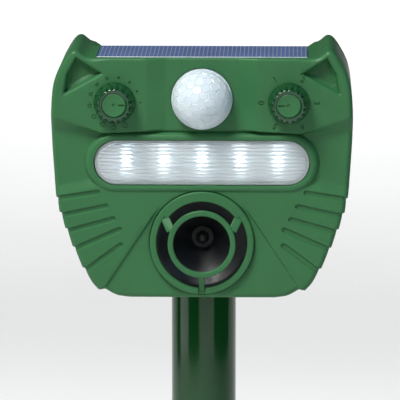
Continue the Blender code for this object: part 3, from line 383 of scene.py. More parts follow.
def moulded_rubber(name):
    """Compression-moulded rubber: matt, near black, with a powdery bloom."""
    made, tree, shader, place = start_material(name, linear("1b1d1e"), 0.75, ior=1.52)
    bloom = noise(tree, place, 3.5, 5.0)
    vary_colour(tree, shader, bloom, linear("17191a"), linear("26292a"))
    add_bump(tree, shader, bloom, 0.35, 0.04)
    return made


def circuit_board(name):
    """Green solder mask over fibreglass: the weave, 0.5 mm a thread, shows through faintly."""
    made, tree, shader, place = start_material(name, linear("14512f"), 0.35)
    weave = add_node(tree, "ShaderNodeTexChecker", {"Vector": place, "Scale": 1 / (0.5 * MM),
                                                    "Color1": linear("124a2b"), "Color2": linear("185b35")})
    tree.links.new(weave.outputs["Color"], shader.inputs["Base Color"])
    return made


def shrink_film(name):
    """Printed shrink film on a cell: glossy blue with fine wrinkles round it."""
    made, tree, shader, place = start_material(name, linear("2c62a6"), 0.22)
    add_bump(tree, shader, noise(tree, place, 2.5, 3.0), 0.3, 0.05)
    return made


def make_materials(colours):
    shell = (*colours.shell, 1)
    knob = (*colours.knob, 1)
    return {
        "moulded_green": moulded_abs("moulded_abs_green", shell, 0.38),
        "knob_green": moulded_abs("polished_abs_green", knob, 0.2, grain=0.012, coat=0.4,
                                  specular=0.5),
        "pole_green": extruded_gloss("extruded_gloss_green", (*colours.pole, 1)),
        "black_plastic": black_abs("polished_abs_black"),
        "steel": plated_steel("zinc_plated_steel"),
        "brass": rolled_brass("rolled_brass"),
        "rubber": moulded_rubber("moulded_rubber_black"),
        "circuit_board": circuit_board("solder_mask_on_fibreglass"),
        "battery_wrap": shrink_film("printed_shrink_film"),
        "milky_lens": milky_polyethylene("milky_polyethylene", (*colours.dome, 1)),
        "clear_lens": clear_polycarbonate("clear_polycarbonate"),
        "reflector": metallised("metallised_plastic"),
        "led": lit_epoxy("lit_led_epoxy"),
        "solar_glass": solar_cell("epoxy_over_silicon", (*colours.cell, 1), 1.0),
        "silicon": solar_cell("coated_silicon", (*colours.cell, 1)),
    }


MATERIALS = {}


# ------------------------------------------------------------------ meshes and pieces
def new_object(name, mesh):
    obj = bpy.data.objects.new(name, mesh)
    bpy.context.scene.collection.objects.link(obj)
    return obj


def from_bmesh(name, bm):
    """An object in metres from a bmesh in millimetres, its faces turned outwards."""
    bmesh.ops.recalc_face_normals(bm, faces=bm.faces)
    bmesh.ops.scale(bm, vec=(MM, MM, MM), verts=bm.verts)
    mesh = bpy.data.meshes.new(name)
    bm.to_mesh(mesh)
    bm.free()
    return new_object(name, mesh)


def apply_modifiers(obj):
    """Replaces an object's mesh by what its modifiers make of it."""
    bpy.context.view_layer.update()
    mesh = bpy.data.meshes.new_from_object(obj.evaluated_get(bpy.context.evaluated_depsgraph_get()))
    obj.modifiers.clear()
    obj.data = mesh
    return obj


def carve(obj, operation, *tools):
    """Cuts, joins or intersects a closed piece with closed tools, and removes the tools."""
    for tool in tools:
        modifier = obj.modifiers.new("carve", "BOOLEAN")
        modifier.operation = operation
        modifier.solver = "MANIFOLD"
        modifier.object = tool
    apply_modifiers(obj)
    for tool in tools:
        bpy.data.objects.remove(tool, do_unlink=True)
    return obj


def soften(obj, width_mm, segments=2, angle=30):
    """Rounds a piece's sharp edges."""
    bevel = obj.modifiers.new("soften", "BEVEL")
    bevel.width = width_mm * MM
    bevel.segments = segments
    bevel.limit_method = "ANGLE"
    bevel.angle_limit = math.radians(angle)
    bevel.use_clamp_overlap = True
    return apply_modifiers(obj)


def finish_piece(obj, slot, body, replaced=(), sharp=32):
    """Gives a piece its material, its shading, the body it rides on and the nodes it stands for."""
    obj.data.materials.clear()
    obj.data.materials.append(MATERIALS[slot])
    obj.data.shade_smooth()
    obj.data.set_sharp_from_angle(angle=math.radians(sharp))
    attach(obj, body)
    if replaced:
        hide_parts(*replaced)
    return obj


def revolve(name, profile, centre=(0, 0, 0), axis="Z", segments=96, closed=False):
    """Turns a profile of (radius, height) about an axis. It starts and ends on the axis unless closed."""
    bm = bmesh.new()
    turn = {"Z": Matrix.Identity(3), "-Y": Matrix.Rotation(math.radians(90), 3, "X"),
            "Y": Matrix.Rotation(math.radians(-90), 3, "X")}[axis]
    rings = []
    for radius, height in profile:
        if radius < 1e-6:
            rings.append([bm.verts.new(turn @ Vector((0, 0, height)) + Vector(centre))])
            continue
        angles = [2 * math.pi * i / segments for i in range(segments)]
        points = [Vector((radius * math.cos(a), radius * math.sin(a), height)) for a in angles]
        rings.append([bm.verts.new(turn @ p + Vector(centre)) for p in points])
    pairs = list(zip(rings, rings[1:])) + ([(rings[-1], rings[0])] if closed else [])
    for lower, upper in pairs:
        for i in range(segments):
            j = (i + 1) % segments
            corners = [ring[k % len(ring)] for ring, k in ((lower, i), (lower, j), (upper, j), (upper, i))]
            face = list(dict.fromkeys(corners))
            if len(face) > 2:
                bm.faces.new(face)
    return from_bmesh(name, bm)


def rod(name, radius, low, high, centre, axis="-Y", segments=64):
    return revolve(name, [(0, low), (radius, low), (radius, high), (0, high)], centre, axis, segments)


def slab(name, loop, y0, y1):
    """A flat outline of (x, height on the head) as a plate between two depths."""
    bm = bmesh.new()
    front = [bm.verts.new((x, y0, z + HEAD_Z)) for x, z in loop]
    face = bm.faces.new(front)
    for vert in bmesh.ops.extrude_face_region(bm, geom=[face])["geom"]:
        if isinstance(vert, bmesh.types.BMVert):
            vert.co.y = y1
    return from_bmesh(name, bm)


def block(name, low, high):
    bm = bmesh.new()
    bmesh.ops.create_cube(bm, size=1)
    size = [b - a for a, b in zip(low, high)]
    bmesh.ops.scale(bm, vec=size, verts=bm.verts)
    bmesh.ops.translate(bm, vec=[(a + b) / 2 for a, b in zip(low, high)], verts=bm.verts)
    return from_bmesh(name, bm)


def round_profile(points, radius, steps=5):
    """A profile whose inner corners are rounded. Its first and last points stay."""
    rounded = [points[0]]
    for before, here, after in zip(points, points[1:], points[2:]):
        here_v = Vector(here)
        back, ahead = Vector(before) - here_v, Vector(after) - here_v
        reach = min(radius, back.length * 0.49, ahead.length * 0.49)
        start, end = here_v + back.normalized() * reach, here_v + ahead.normalized() * reach
        for i in range(steps + 1):
            t = i / steps
            point = (1 - t) ** 2 * start + 2 * t * (1 - t) * here_v + t * t * end
            rounded.append((point.x, point.y))
    rounded.append(points[-1])
    return rounded


def rounded_rectangle(half_width, half_height, radius, x=0.0, z=0.0, steps=8):
    """An outline about a centre, with that many steps in each corner."""
    loop = []
    for quarter, (sx, sz) in enumerate(((1, 1), (-1, 1), (-1, -1), (1, -1))):
        for i in range(steps + 1):
            angle = math.pi / 2 * (quarter + i / steps)
            u = x + sx * (half_width - radius) + radius * math.cos(angle)
            loop.append((u, z + sz * (half_height - radius) + radius * math.sin(angle)))
    return loop


def stadium(half_width, radius, centre_z):
    """A slot's outline: two half circles of 40 steps with straight lines between."""
    loop = []
    for side in (1, -1):
        for i in range(41):
            angle = math.pi * i / 40 - math.pi / 2
            x = side * (half_width - radius + radius * math.cos(angle))
            loop.append((x, centre_z + side * radius * math.sin(angle)))
    return loop


# ------------------------------------------------------------------ fields on the face
def smooth_min(a, b, width):
    share = np.clip(0.5 + 0.5 * (b - a) / width, 0, 1)
    return b * (1 - share) + a * share - width * share * (1 - share)


def smooth_max(a, b, width):
    return -smooth_min(-a, -b, width)


def smooth_step(t):
    t = np.clip(t, 0, 1)
    return t * t * (3 - 2 * t)


def path_distance(points, path, closed=True):
    """Distance from points to a polyline, positive inside it where it is closed."""
    path = np.asarray(path, float)
    ends = np.roll(path, -1, axis=0) if closed else path[1:]
    best = np.full(len(points), 1e9)
    inside = np.zeros(len(points), bool)
    for a, b in zip(path, ends):
        along = b - a
        t = np.clip((points - a) @ along / max(along @ along, 1e-12), 0, 1)
        best = np.minimum(best, np.hypot(*(points - a - t[:, None] * along).T))
        if closed and a[1] != b[1]:
            crosses = (a[1] > points[:, 1]) != (b[1] > points[:, 1])
            x = a[0] + (points[:, 1] - a[1]) * along[0] / along[1]
            inside ^= crosses & (points[:, 0] < x)
    return np.where(inside, best, -best) if closed else best


def line_distance(points, start, end):
    """Distance to the right of a line from start to end."""
    a, b = np.array(start), np.array(end)
    along = (b - a) / np.linalg.norm(b - a)
    offset = points - a
    return offset[:, 0] * along[1] - offset[:, 1] * along[0]


def stadium_distance(points, half_width, radius):
    """Distance outside a slot round the lamp's centre."""
    x = np.maximum(np.abs(points[:, 0]) - (half_width - radius), 0)
    return np.hypot(x, points[:, 1] - LAMP_Z) - radius


def circle_distance(points, x, z, radius):
    return np.hypot(points[:, 0] - x, points[:, 1] - z) - radius


def edge_roll(distance, radius):
    """How far a rounded edge has dropped at a distance inside it."""
    left = radius - np.clip(distance, 0, radius)
    return radius - np.sqrt(np.maximum(radius**2 - left**2, 0))


def catmull_rom(points, spacing):
    """A smooth curve through points, with steps of about a spacing."""
    path = [Vector(p) for p in points]
    path = [2 * path[0] - path[1], *path, 2 * path[-1] - path[-2]]
    curve = []
    for a, b, c, d in zip(path, path[1:], path[2:], path[3:]):
        count = max(1, round((c - b).length / spacing))
        for i in range(count):
            t = i / count
            curve.append(0.5 * ((2 * b) + (c - a) * t + (2 * a - 5 * b + 4 * c - d) * t * t
                                + (3 * b - a - 3 * c + d) * t**3))
    curve.append(path[-2])
    return [(p.x, p.y) for p in curve]


def notch_at(z):
    """How far a cheek petal's rim has stepped in: most at its top, nothing at its foot."""
    levels = [*NOTCH_LEVELS, CHEEK_FOOT]
    for top, foot in zip(levels, levels[1:]):
        if foot <= z < top:
            return NOTCH_DEPTH * (z - foot) / (top - foot)
    return 0.0


def densify(path, spacing):
    dense = []
    for a, b in zip(path, path[1:]):
        count = max(1, round(math.dist(a, b) / spacing))
        dense += [(a[0] + (b[0] - a[0]) * i / count, a[1] + (b[1] - a[1]) * i / count) for i in range(count)]
    return dense + [path[-1]]


def head_outline(notched, spacing=0.8):
    """The head's outline, anticlockwise from the middle of the chin."""
    rim = catmull_rom(CHEEK_POINTS + SIDE_POINTS + EAR_POINTS, spacing)
    if notched:
        stepped = []
        for (x, z), (next_x, next_z) in zip(rim, rim[1:]):
            stepped.append((x - notch_at(z), z))
            for level in NOTCH_LEVELS:
                if z < level <= next_z:
                    share = (level - z) / (next_z - z)
                    at = x + share * (next_x - x)
                    stepped += [(at - NOTCH_DEPTH, level - 0.25), (at, level + 0.15)]
        stepped.append(rim[-1])
        rim = stepped[:1] + [p for before, p in zip(stepped, stepped[1:]) if math.dist(before, p) > 0.1]
    half = densify([(0, 0.0), CHIN_POINTS[0]], spacing) + catmull_rom(CHIN_POINTS, spacing)[1:]
    half += densify([half[-1], rim[0]], spacing)[1:-1] + rim
    half += densify([rim[-1], (46, TOP_Z), (0, TOP_Z)], spacing)[1:]
    return half + [(-x, z) for x, z in reversed(half) if x > 1e-6]


# ------------------------------------------------------------------ relief solids
def level_lines(values, xs, zs, level):
    """The segments, as pairs of points, along which a field on a grid equals a level."""
    above = values > level
    crossings = {}

    def cross(i, j, di, dj):
        key = (i, j, di)
        if key not in crossings:
            a, b = values[j, i], values[j + dj, i + di]
            t = (level - a) / (b - a)
            crossings[key] = (xs[i] + t * di * (xs[1] - xs[0]), zs[j] + t * dj * (zs[1] - zs[0]))
        return crossings[key]

    cells = above[:-1, :-1].astype(int) + above[1:, :-1] + above[:-1, 1:] + above[1:, 1:]
    segments = []
    for j, i in zip(*np.nonzero((cells > 0) & (cells < 4))):
        found = []
        if above[j, i] != above[j, i + 1]:
            found.append(cross(i, j, 1, 0))
        if above[j, i + 1] != above[j + 1, i + 1]:
            found.append(cross(i + 1, j, 0, 1))
        if above[j + 1, i] != above[j + 1, i + 1]:
            found.append(cross(i, j + 1, 1, 0))
        if above[j, i] != above[j + 1, i]:
            found.append(cross(i, j, 0, 1))
        segments += [(found[k], found[k + 1]) for k in range(0, len(found) - 1, 2)]
    return segments


def relief_solid(name, outline, depth, features, base_y, grid=0.9, fill=2.4, holes=None):
    """A closed solid: a sheet whose depth follows a function of (x, height), walled back to a plane.

    features are (field, levels, where): the mesh has edges along each field's level lines, so that
    creases and fillets are crisp. holes is a field that is negative where the sheet is left out.
    """
    loop = np.array(outline)
    xs = np.arange(loop[:, 0].min() - grid, loop[:, 0].max() + 2 * grid, grid)
    zs = np.arange(loop[:, 1].min() - grid, loop[:, 1].max() + 2 * grid, grid)
    mesh_x, mesh_z = np.meshgrid(xs, zs)
    cells = np.column_stack([mesh_x.ravel(), mesh_z.ravel()])
    segments = []
    for field, levels, where in features:
        values = field(cells).reshape(mesh_x.shape)
        for level in levels:
            for pair in level_lines(values, xs, zs, level):
                centre = ((pair[0][0] + pair[1][0]) / 2, (pair[0][1] + pair[1][1]) / 2)
                if where is None or where(abs(centre[0]), centre[1]):
                    segments.append(pair)
    ends = np.array([p for pair in segments for p in pair]).reshape(-1, 2)
    keep = path_distance(ends, outline) > 0.06
    keep = keep[0::2] & keep[1::2]
    ends = ends.reshape(-1, 2, 2)[keep].reshape(-1, 2)
    count = len(outline)
    edges = [(i, (i + 1) % count) for i in range(count)]
    unique, index = np.unique(np.round(ends, 4), axis=0, return_inverse=True)
    index = np.asarray(index).ravel() + count
    edges += [(int(a), int(b)) for a, b in zip(index[0::2], index[1::2]) if a != b]

    tree = KDTree(count + len(unique))
    for i, (x, z) in enumerate([*outline, *unique]):
        tree.insert((x, z, 0), i)
    tree.balance()
    rows = np.arange(zs[0], zs[-1], fill * 0.866)
    columns = np.arange(xs[0], xs[-1], fill)
    spread = [(x + (fill / 2 if k % 2 else 0), z) for k, z in enumerate(rows) for x in columns]
    spread = [p for p, d in zip(spread, path_distance(np.array(spread), outline)) if d > fill * 0.5]
    spread = [p for p in spread if tree.find((*p, 0))[2] > fill * 0.45]
    points = [Vector(p) for p in [*outline, *map(tuple, unique), *spread]]
    verts, _, faces, *_ = geometry.delaunay_2d_cdt(points, edges, [], 0, 1e-4)
    flat = np.array([tuple(v) for v in verts])
    faces = np.array(faces)
    centres = flat[faces].mean(axis=1)
    kept = path_distance(centres, outline) > 0
    if holes is not None:
        kept &= holes(centres) > 0
    faces = faces[kept]

    bm = bmesh.new()
    used = {int(i): None for i in np.unique(faces)}
    depths = depth(flat)
    for i in used:
        used[i] = bm.verts.new((flat[i, 0], depths[i], flat[i, 1] + HEAD_Z))
    for a, b, c in faces:
        bm.faces.new((used[int(a)], used[int(b)], used[int(c)]))
    boundary = [e for e in bm.edges if e.is_boundary]
    walls = bmesh.ops.extrude_edge_only(bm, edges=boundary)["geom"]
    for vert in walls:
        if isinstance(vert, bmesh.types.BMVert):
            vert.co.y = base_y
    rim = [e for e in walls if isinstance(e, bmesh.types.BMEdge) and e.is_boundary]
    bmesh.ops.triangle_fill(bm, use_beauty=False, use_dissolve=False, edges=rim)
    return from_bmesh(name, bm)


# ------------------------------------------------------------------ the head's shells
def brow_rise(points):
    """Nothing at the foot of the brow's lower edge, one at its top."""
    top = np.interp(np.abs(points[:, 0]), *zip(*BROW_LINE))
    foot = np.minimum(top - 1.1, BROW_FOOT)
    return (points[:, 1] - foot) / (top - foot)


def mirrored(points):
    """The same points moved to the face's right half, which the left one mirrors."""
    return np.column_stack([np.abs(points[:, 0]), points[:, 1]])


def below_cheek_top(points):
    return line_distance(mirrored(points), *CHEEK_TOP)


def outside_crease(points):
    return -line_distance(mirrored(points), *CREASE)


def bezel_share(points):
    """Nothing on the bezel's flat rim, one at the foot of its slope."""
    inner = stadium_distance(points, LENS_HALF, LENS_RADIUS) - 1.3
    outer = stadium_distance(points, LENS_HALF + 5.6, LENS_RADIUS + 4.5)
    return inner / (inner - outer)


def groove_distance(points):
    """Distance to the nearest finger groove's middle line."""
    best = np.full(len(points), np.inf)
    for start, angle in GROOVES:
        turn = math.radians(angle)
        end = (start[0] + GROOVE_RUN * math.cos(turn), start[1] - GROOVE_RUN * math.sin(turn))
        best = np.minimum(best, path_distance(mirrored(points), [start, end], closed=False))
    return best


def ear_distance(points):
    """Distance inside an ear's hollow, whose corners are a little rounded."""
    heart, rounding = Vector(EAR_HEART), 0.45
    shrunk = [tuple(heart + (Vector(p) - heart) * 0.915) for p in EAR_RECESS]
    return path_distance(mirrored(points), shrunk) + rounding


def lamp_hole(points):
    return stadium_distance(points, LENS_HALF + GAP, LENS_RADIUS + GAP)


def speaker_hole(points):
    return circle_distance(points, 0, SPEAKER_Z, GRILLE_RADIUS + GAP)


def dome_hole(points):
    return circle_distance(points, 0, SENSOR_Z, DOME_RADIUS + GAP)


def hollow_outline():
    """The cavity inside the shells' walls, level under the panel."""
    rim = [p for p in head_outline(False, 1.5) if p[1] < CAVITY_TOP - 3]
    inset = []
    for before, here, after in zip(rim[-1:] + rim[:-1], rim, rim[1:] + rim[:1]):
        if math.dist(before, after) > 40:
            after = before = here
        along = Vector(after) - Vector(before)
        along = along.normalized() if along.length else Vector((0, math.copysign(1, here[0])))
        inset.append((here[0] - along.y * WALL, here[1] + along.x * WALL))
    half = [p for p in inset if p[0] > 0]
    half.append((half[-1][0] - 0.6, CAVITY_TOP))
    return half + [(-x, z) for x, z in reversed(half)]


def tray_pocket():
    low = (TRAY_LOW.x - GAP, TRAY_LOW.y - GAP, TRAY_LOW.z - GAP)
    high = (TRAY_HIGH.x + GAP, TRAY_HIGH.y + GAP, TRAY_HIGH.z + 30)
    return block("tray_pocket", low, high)


def face_depth(points, sizes):
    """Depth of the face at points of (x, height)."""
    x, z = np.abs(points[:, 0]), points[:, 1]
    facet = CENTRE_LEVEL * (CENTRE_EDGE - x) / (CENTRE_EDGE - CENTRE_FLAT)
    crown = smooth_min(smooth_max(facet, np.full_like(x, CENTRE_LEVEL), 0.2), np.zeros_like(x), 0.2)
    rise = SIDE_LEVEL - SIDE_LEVEL * brow_rise(points)
    height = smooth_max(smooth_min(crown, rise, 0.45), np.full_like(x, SIDE_LEVEL), 0.4)

    cheek = smooth_min(np.full_like(x, CHEEK_LEVEL), SIDE_LEVEL + 2 * below_cheek_top(points) / 5.2, 0.5)
    chin = CHIN_LEVEL + (CHEEK_LEVEL - CHIN_LEVEL) * smooth_step((z - 38) / 9)
    cheek = chin + (cheek - chin) * smooth_step(outside_crease(points) / 0.9)
    inside_groove = sizes.groove_width / MM / 2 - groove_distance(points)
    cheek = cheek - sizes.groove_depth / MM * smooth_step(inside_groove / 0.5)
    height = np.where(z < 63, smooth_max(height, cheek, 0.3), height)

    share = np.clip(bezel_share(points), 0, 3)
    height = smooth_max(height, BEZEL_LEVEL - 5 * share**3, 0.25)
    ear = ear_distance(points)
    deep = sizes.ear_depth / MM
    height = height - deep * (0.16 * np.clip(ear / 0.8, 0, 1) + 0.54 * smooth_step((ear - 0.8) / 0.7)
                              + 0.3 * smooth_step((ear - 1) / 2.5))

    for hole in (lamp_hole, speaker_hole, dome_hole):
        height = height - edge_roll(hole(points), 0.4)
    rim = path_distance(points, head_outline(True))
    edge = sizes.edge_round / MM
    radius = np.where(z > TOP_EDGE_Z, 1.2 + (edge - 1.2) * smooth_step((x - 44) / 10), edge)
    return FACE_Y - (height - edge_roll(rim, radius))


def face_features(sizes):
    """The face's fields, the levels that its mesh follows, and where they matter."""
    edge, half_groove = sizes.edge_round / MM, sizes.groove_width / MM / 2
    outline = head_outline(True)
    rim_levels = [edge * s for s in (0.04, 0.15, 0.32, 0.55, 0.78, 1.0, 1.25)]
    groove_levels = [half_groove - s for s in (0.6, 0.47, 0.35, 0.15, 0.03, -0.08)]
    hole_levels = [0.03, 0.15, 0.4]
    return [
        (lambda p: path_distance(p, outline), rim_levels, None),
        (brow_rise, [-0.1, 0.05, 0.15, 0.35, 0.65, 0.85, 0.95, 1.1], lambda x, z: 78 < z < 97),
        (lambda p: np.abs(p[:, 0]), [CENTRE_FLAT - 0.3, CENTRE_FLAT, CENTRE_FLAT + 0.3, CENTRE_EDGE - 0.3,
                                     CENTRE_EDGE, CENTRE_EDGE + 0.3], lambda x, z: z > 82),
        (below_cheek_top, [-0.6, 0, 0.6, 4.6, 5.2, 5.8], lambda x, z: x > 47 and z < 61),
        (outside_crease, [-0.1, 0.1, 0.3, 0.5, 0.7, 0.95], lambda x, z: z < 48),
        (lamp_hole, hole_levels, None),
        (bezel_share, [-0.02, 0.15, 0.3, 0.45, 0.6, 0.72, 0.84, 0.93, 1.02], None),
        (groove_distance, groove_levels, lambda x, z: z < 57),
        (ear_distance, [-0.05, 0.05, 0.75, 0.9, 1.05, 1.2, 1.35, 1.5, 2.2, 3.2], None),
        (speaker_hole, hole_levels, None),
        (dome_hole, hole_levels, None),
    ]


def text_cutter(text, angle, size, depth):
    """A numeral beside the right knob as a solid in the brow's surface, its top pointing outwards."""
    x, z = KNOB_X + 13.3 * math.cos(angle), KNOB_Z + 13 * math.sin(angle)
    curve = bpy.data.curves.new("numeral", "FONT")
    curve.body = text
    curve.size = size * MM
    curve.extrude = depth * MM
    curve.offset = 0.00009
    curve.align_x, curve.align_y = "CENTER", "CENTER"
    guide = new_object("numeral_guide", curve)
    guide.matrix_world = Matrix.Translation((x * MM, FACE_Y * MM, (z + HEAD_Z) * MM)) @ Matrix.Rotation(
        math.radians(90), 4, "X") @ Matrix.Rotation(angle - math.pi / 2, 4, "Z")
    bpy.context.view_layer.update()
    mesh = bpy.data.meshes.new_from_object(guide.evaluated_get(bpy.context.evaluated_depsgraph_get()))
    mesh.transform(guide.matrix_world)
    bpy.data.objects.remove(guide, do_unlink=True)
    bm = bmesh.new()
    bm.from_mesh(mesh)
    bmesh.ops.remove_doubles(bm, verts=bm.verts, dist=1e-6)
    bmesh.ops.recalc_face_normals(bm, faces=bm.faces)
    bm.to_mesh(mesh)
    bm.free()
    return new_object("numeral", mesh)


def dial_marks(depth):
    """Cutters for the dials: growing dots and rings on the left, numerals on the right."""
    cutters = []
    for i in range(DOT_COUNT):
        angle = math.radians(DOT_TURN * i)
        x, z = -KNOB_X + SCALE_RADIUS * math.cos(angle), KNOB_Z + SCALE_RADIUS * math.sin(angle)
        outer = 0.45 + 0.085 * i
        at = (x, FACE_Y, z + HEAD_Z)
        if i < SOLID_DOTS:
            cutters.append(rod("dot", outer, -depth, depth, at, segments=20))
        else:
            ring = [(outer - 0.42, -depth), (outer, -depth), (outer, depth), (outer - 0.42, depth)]
            cutters.append(revolve("ring_mark", ring, at, "-Y", 28, closed=True))
    for i in range(6):
        cutters.append(text_cutter(str(i), math.radians(180 - 60 * i), 4.2, depth))
    return cutters


def make_front(sizes):
    """The face with its brow, ears, lamp bezel, cheeks and chin, hollow behind a wall."""
    front = relief_solid("front_shell_surface", head_outline(True), lambda p: face_depth(p, sizes),
                         face_features(sizes), FRONT_BACK_Y)
    hollow = slab("hollow", hollow_outline(), FACE_INSIDE_Y, 0)
    ahead = 12 - FACE_Y
    speaker = (0, 0, SPEAKER_Z + HEAD_Z)
    holes = [
        slab("lamp_hole", stadium(LENS_HALF + GAP, LENS_RADIUS + GAP, LAMP_Z), FACE_Y - 12, -30),
        rod("grille_seat", GRILLE_RADIUS + GAP, -FACE_Y - SPEAKER_SEAT, ahead, speaker, segments=128),
        rod("horn_hole", HORN_HOLE, 30, ahead, speaker, segments=96),
        rod("dome_hole", DOME_RADIUS + GAP, 30, ahead, (0, 0, SENSOR_Z + HEAD_Z), segments=96),
    ]
    for side in (1, -1):
        holes.append(rod("shaft_hole", SHAFT_HOLE, 30, ahead, (side * KNOB_X, 0, KNOB_Z + HEAD_Z)))
        pocket = rounded_rectangle(9, 9, 1, side * KNOB_X, KNOB_Z)
        holes.append(slab("dial_pocket", pocket, FACE_Y + 2.5, FACE_INSIDE_Y + 1))
    carve(front, "DIFFERENCE", hollow, *holes, tray_pocket(), *dial_marks(sizes.mark_depth / MM))
    return finish_piece(front, "moulded_green", "head", ["front_shell"])


def rear_depth(points, back_round):
    """Depth of the back: upright, with a rounded edge."""
    rim = path_distance(points, head_outline(False))
    radius = np.where(points[:, 1] > 108, 2.0, back_round)
    return REAR_Y - edge_roll(rim, radius)


def make_rear(sizes):
    """The back of the head with its pole socket and service openings."""
    outline = head_outline(False)
    edge = sizes.back_round / MM
    rim_levels = [edge * s for s in (0.03, 0.12, 0.25, 0.42, 0.6, 0.8, 1.0, 1.2)]
    features = [
        (lambda p: path_distance(p, outline), rim_levels, None),
        (lambda p: p[:, 1], [107.8, 108.2], None),
    ]
    rear = relief_solid("rear_shell_surface", outline, lambda p: rear_depth(p, edge), features, REAR_FRONT_Y,
                        grid=1.2, fill=4)
    hollow = slab("hollow", hollow_outline(), REAR_FRONT_Y - 5, REAR_Y - WALL)
    step = block("step", (TRAY_LOW.x - GAP, TRAY_LOW.y, HEAD_Z + REAR_TOP_Z),
                 (TRAY_HIGH.x + GAP, 40, HEAD_Z + 140))
    # Behind the panel, each ear slopes down to the panel's corner.
    slope = [(51, REAR_TOP_Z), (51.2, REAR_TOP_Z), (54.6, TOP_Z + 0.1), (57, 121), (56, 125), (51, 125)]
    ends = [slab("ear_end", [(s * x, z) for x, z in slope][::s], TRAY_HIGH.y + GAP, 40) for s in (1, -1)]
    carve(rear, "DIFFERENCE", hollow, tray_pocket(), step)
    carve(rear, "DIFFERENCE", *ends)
    seat = (0, 0, HEAD_Z)
    carve(rear, "UNION", rod("socket", SOCKET_OUTER, 0.8, SOCKET_DEPTH + 2, seat, "Z", 96))
    cuts = [rod("bore", SOCKET_BORE, -5, SOCKET_DEPTH, seat, "Z", 96),
            rod("bore_mouth", SOCKET_BORE + 0.8, -5, 0.7, seat, "Z", 96)]
    columns = []
    for node in COLUMN_PLACES:
        x, z = middle(node).x, middle(node).z
        columns.append(rod("column", COLUMN_RADIUS, REAR_FRONT_Y, REAR_Y - 1.2, (x, 0, z), "Y", 48))
        cuts.append(rod("counterbore", 3.2, -12, 30, (x, 0, z), "Y", 48))
        cuts.append(rod("clearance", 1.6, -30, 0, (x, 0, z), "Y", 32))
    carve(rear, "UNION", *columns)
    door, cover = middle("battery_door"), middle("usb_cover")
    half = (corner("battery_door", True) - corner("battery_door")) / 2
    loop = rounded_rectangle(half.x + GAP, half.z + GAP, 3, 0, door.z - HEAD_Z)
    cuts.append(slab("door_opening", loop, 15, 40))
    loop = rounded_rectangle(8.5, 5.0, 2, cover.x, cover.z - HEAD_Z)
    cuts.append(slab("port_pocket", loop, corner("usb_cover").y + 0.6, 40))
    cuts.append(slab("port_mouth", rounded_rectangle(4.9, 2, 1.2, cover.x, cover.z - HEAD_Z), 15, 40))
    carve(rear, "DIFFERENCE", *cuts)
    return finish_piece(rear, "moulded_green", "head", ["rear_shell"])


# ------------------------------------------------------------------ lamp, dome, speaker, knobs
def make_lens(sizes):
    """The lamp's clear lens: rounded ribs along it inside a flat border, a skirt and a flange."""
    pitch, height = sizes.rib_pitch / MM, sizes.rib_height / MM
    ribs = int(2 * (LENS_RADIUS - 1.4) / pitch)
    start = LAMP_Z - ribs * pitch / 2

    def depth(points):
        share = np.mod((points[:, 1] - start) / pitch, 1) * 2 - 1
        rib = height * np.sqrt(np.clip(1 - 0.97 * share**2, 0, 1))
        rim = -stadium_distance(points, LENS_HALF, LENS_RADIUS)
        border = smooth_step((rim - 1.3) / 0.5)
        return LENS_Y + height - rib * border + edge_roll(rim, 0.35)

    across_rib = (0.0, 0.04, 0.14, 0.3, 0.5, 0.7, 0.86, 0.96)
    levels = [start + pitch * (i + s) for i in range(ribs) for s in across_rib] + [start + ribs * pitch]
    border_levels = [0.05, 0.15, 0.35, 1.3, 1.55, 1.8]
    features = [(lambda p: p[:, 1], levels, None),
                (lambda p: -stadium_distance(p, LENS_HALF, LENS_RADIUS), border_levels, None)]
    loop = densify(stadium(LENS_HALF, LENS_RADIUS, LAMP_Z), 1.2)
    plate = relief_solid("lamp_lens_surface", loop, depth, features, LENS_Y + 1.9, grid=1.1, fill=6)
    flange_y = FACE_INSIDE_Y + GAP
    skirt = slab("skirt", stadium(LENS_HALF, LENS_RADIUS, LAMP_Z), LENS_Y + 1.2, flange_y + 0.7)
    loop = stadium(LENS_HALF + LENS_FLANGE, LENS_RADIUS + LENS_FLANGE, LAMP_Z)
    flange = slab("flange", loop, flange_y, flange_y + 1.4)
    core = slab("core", stadium(LENS_HALF - 1.6, LENS_RADIUS - 1.6, LAMP_Z), LENS_Y + 1.9, -30)
    carve(plate, "UNION", skirt, flange)
    carve(plate, "DIFFERENCE", core)
    return finish_piece(plate, "clear_lens", "head", ["lamp_lens"], sharp=50)


def make_reflector():
    """A plate with a round dish about each LED."""
    low, high = corner("lamp_reflector"), corner("lamp_reflector", True)
    half, radius = high.x, (high.z - low.z) / 2
    places = [middle(f"led_{i}").x for i in range(1, 6)]

    def nearest(points):
        return np.min([np.hypot(points[:, 0] - x, points[:, 1] - LAMP_Z) for x in places], axis=0)

    def depth(points):
        return low.y - 0.6 + 1.2 * (1 - np.clip(nearest(points) / DISH_RADIUS, 0, 1) ** 2)

    loop = densify(stadium(half - 2.8, radius - 2.8, LAMP_Z), 1.5)
    features = [(nearest, [LED_HOLE, 4, 5.2, 6.5, 7.6, DISH_RADIUS], None)]
    dish = relief_solid("lamp_reflector_surface", loop, depth, features, high.y, grid=1.2, fill=3,
                        holes=lambda p: nearest(p) - LED_HOLE)
    return finish_piece(dish, "reflector", "head", ["lamp_reflector"])


def geometry_tree(name, inputs):
    """A Geometry Nodes tree with named inputs, its input node and its output node."""
    tree = bpy.data.node_groups.new(name, "GeometryNodeTree")
    tree.interface.new_socket("Geometry", in_out="OUTPUT", socket_type="NodeSocketGeometry")
    for key, (kind, value) in inputs.items():
        socket = tree.interface.new_socket(key, in_out="INPUT", socket_type=kind)
        if value is not None:
            socket.default_value = value
    return tree, tree.nodes.new("NodeGroupInput"), tree.nodes.new("NodeGroupOutput")


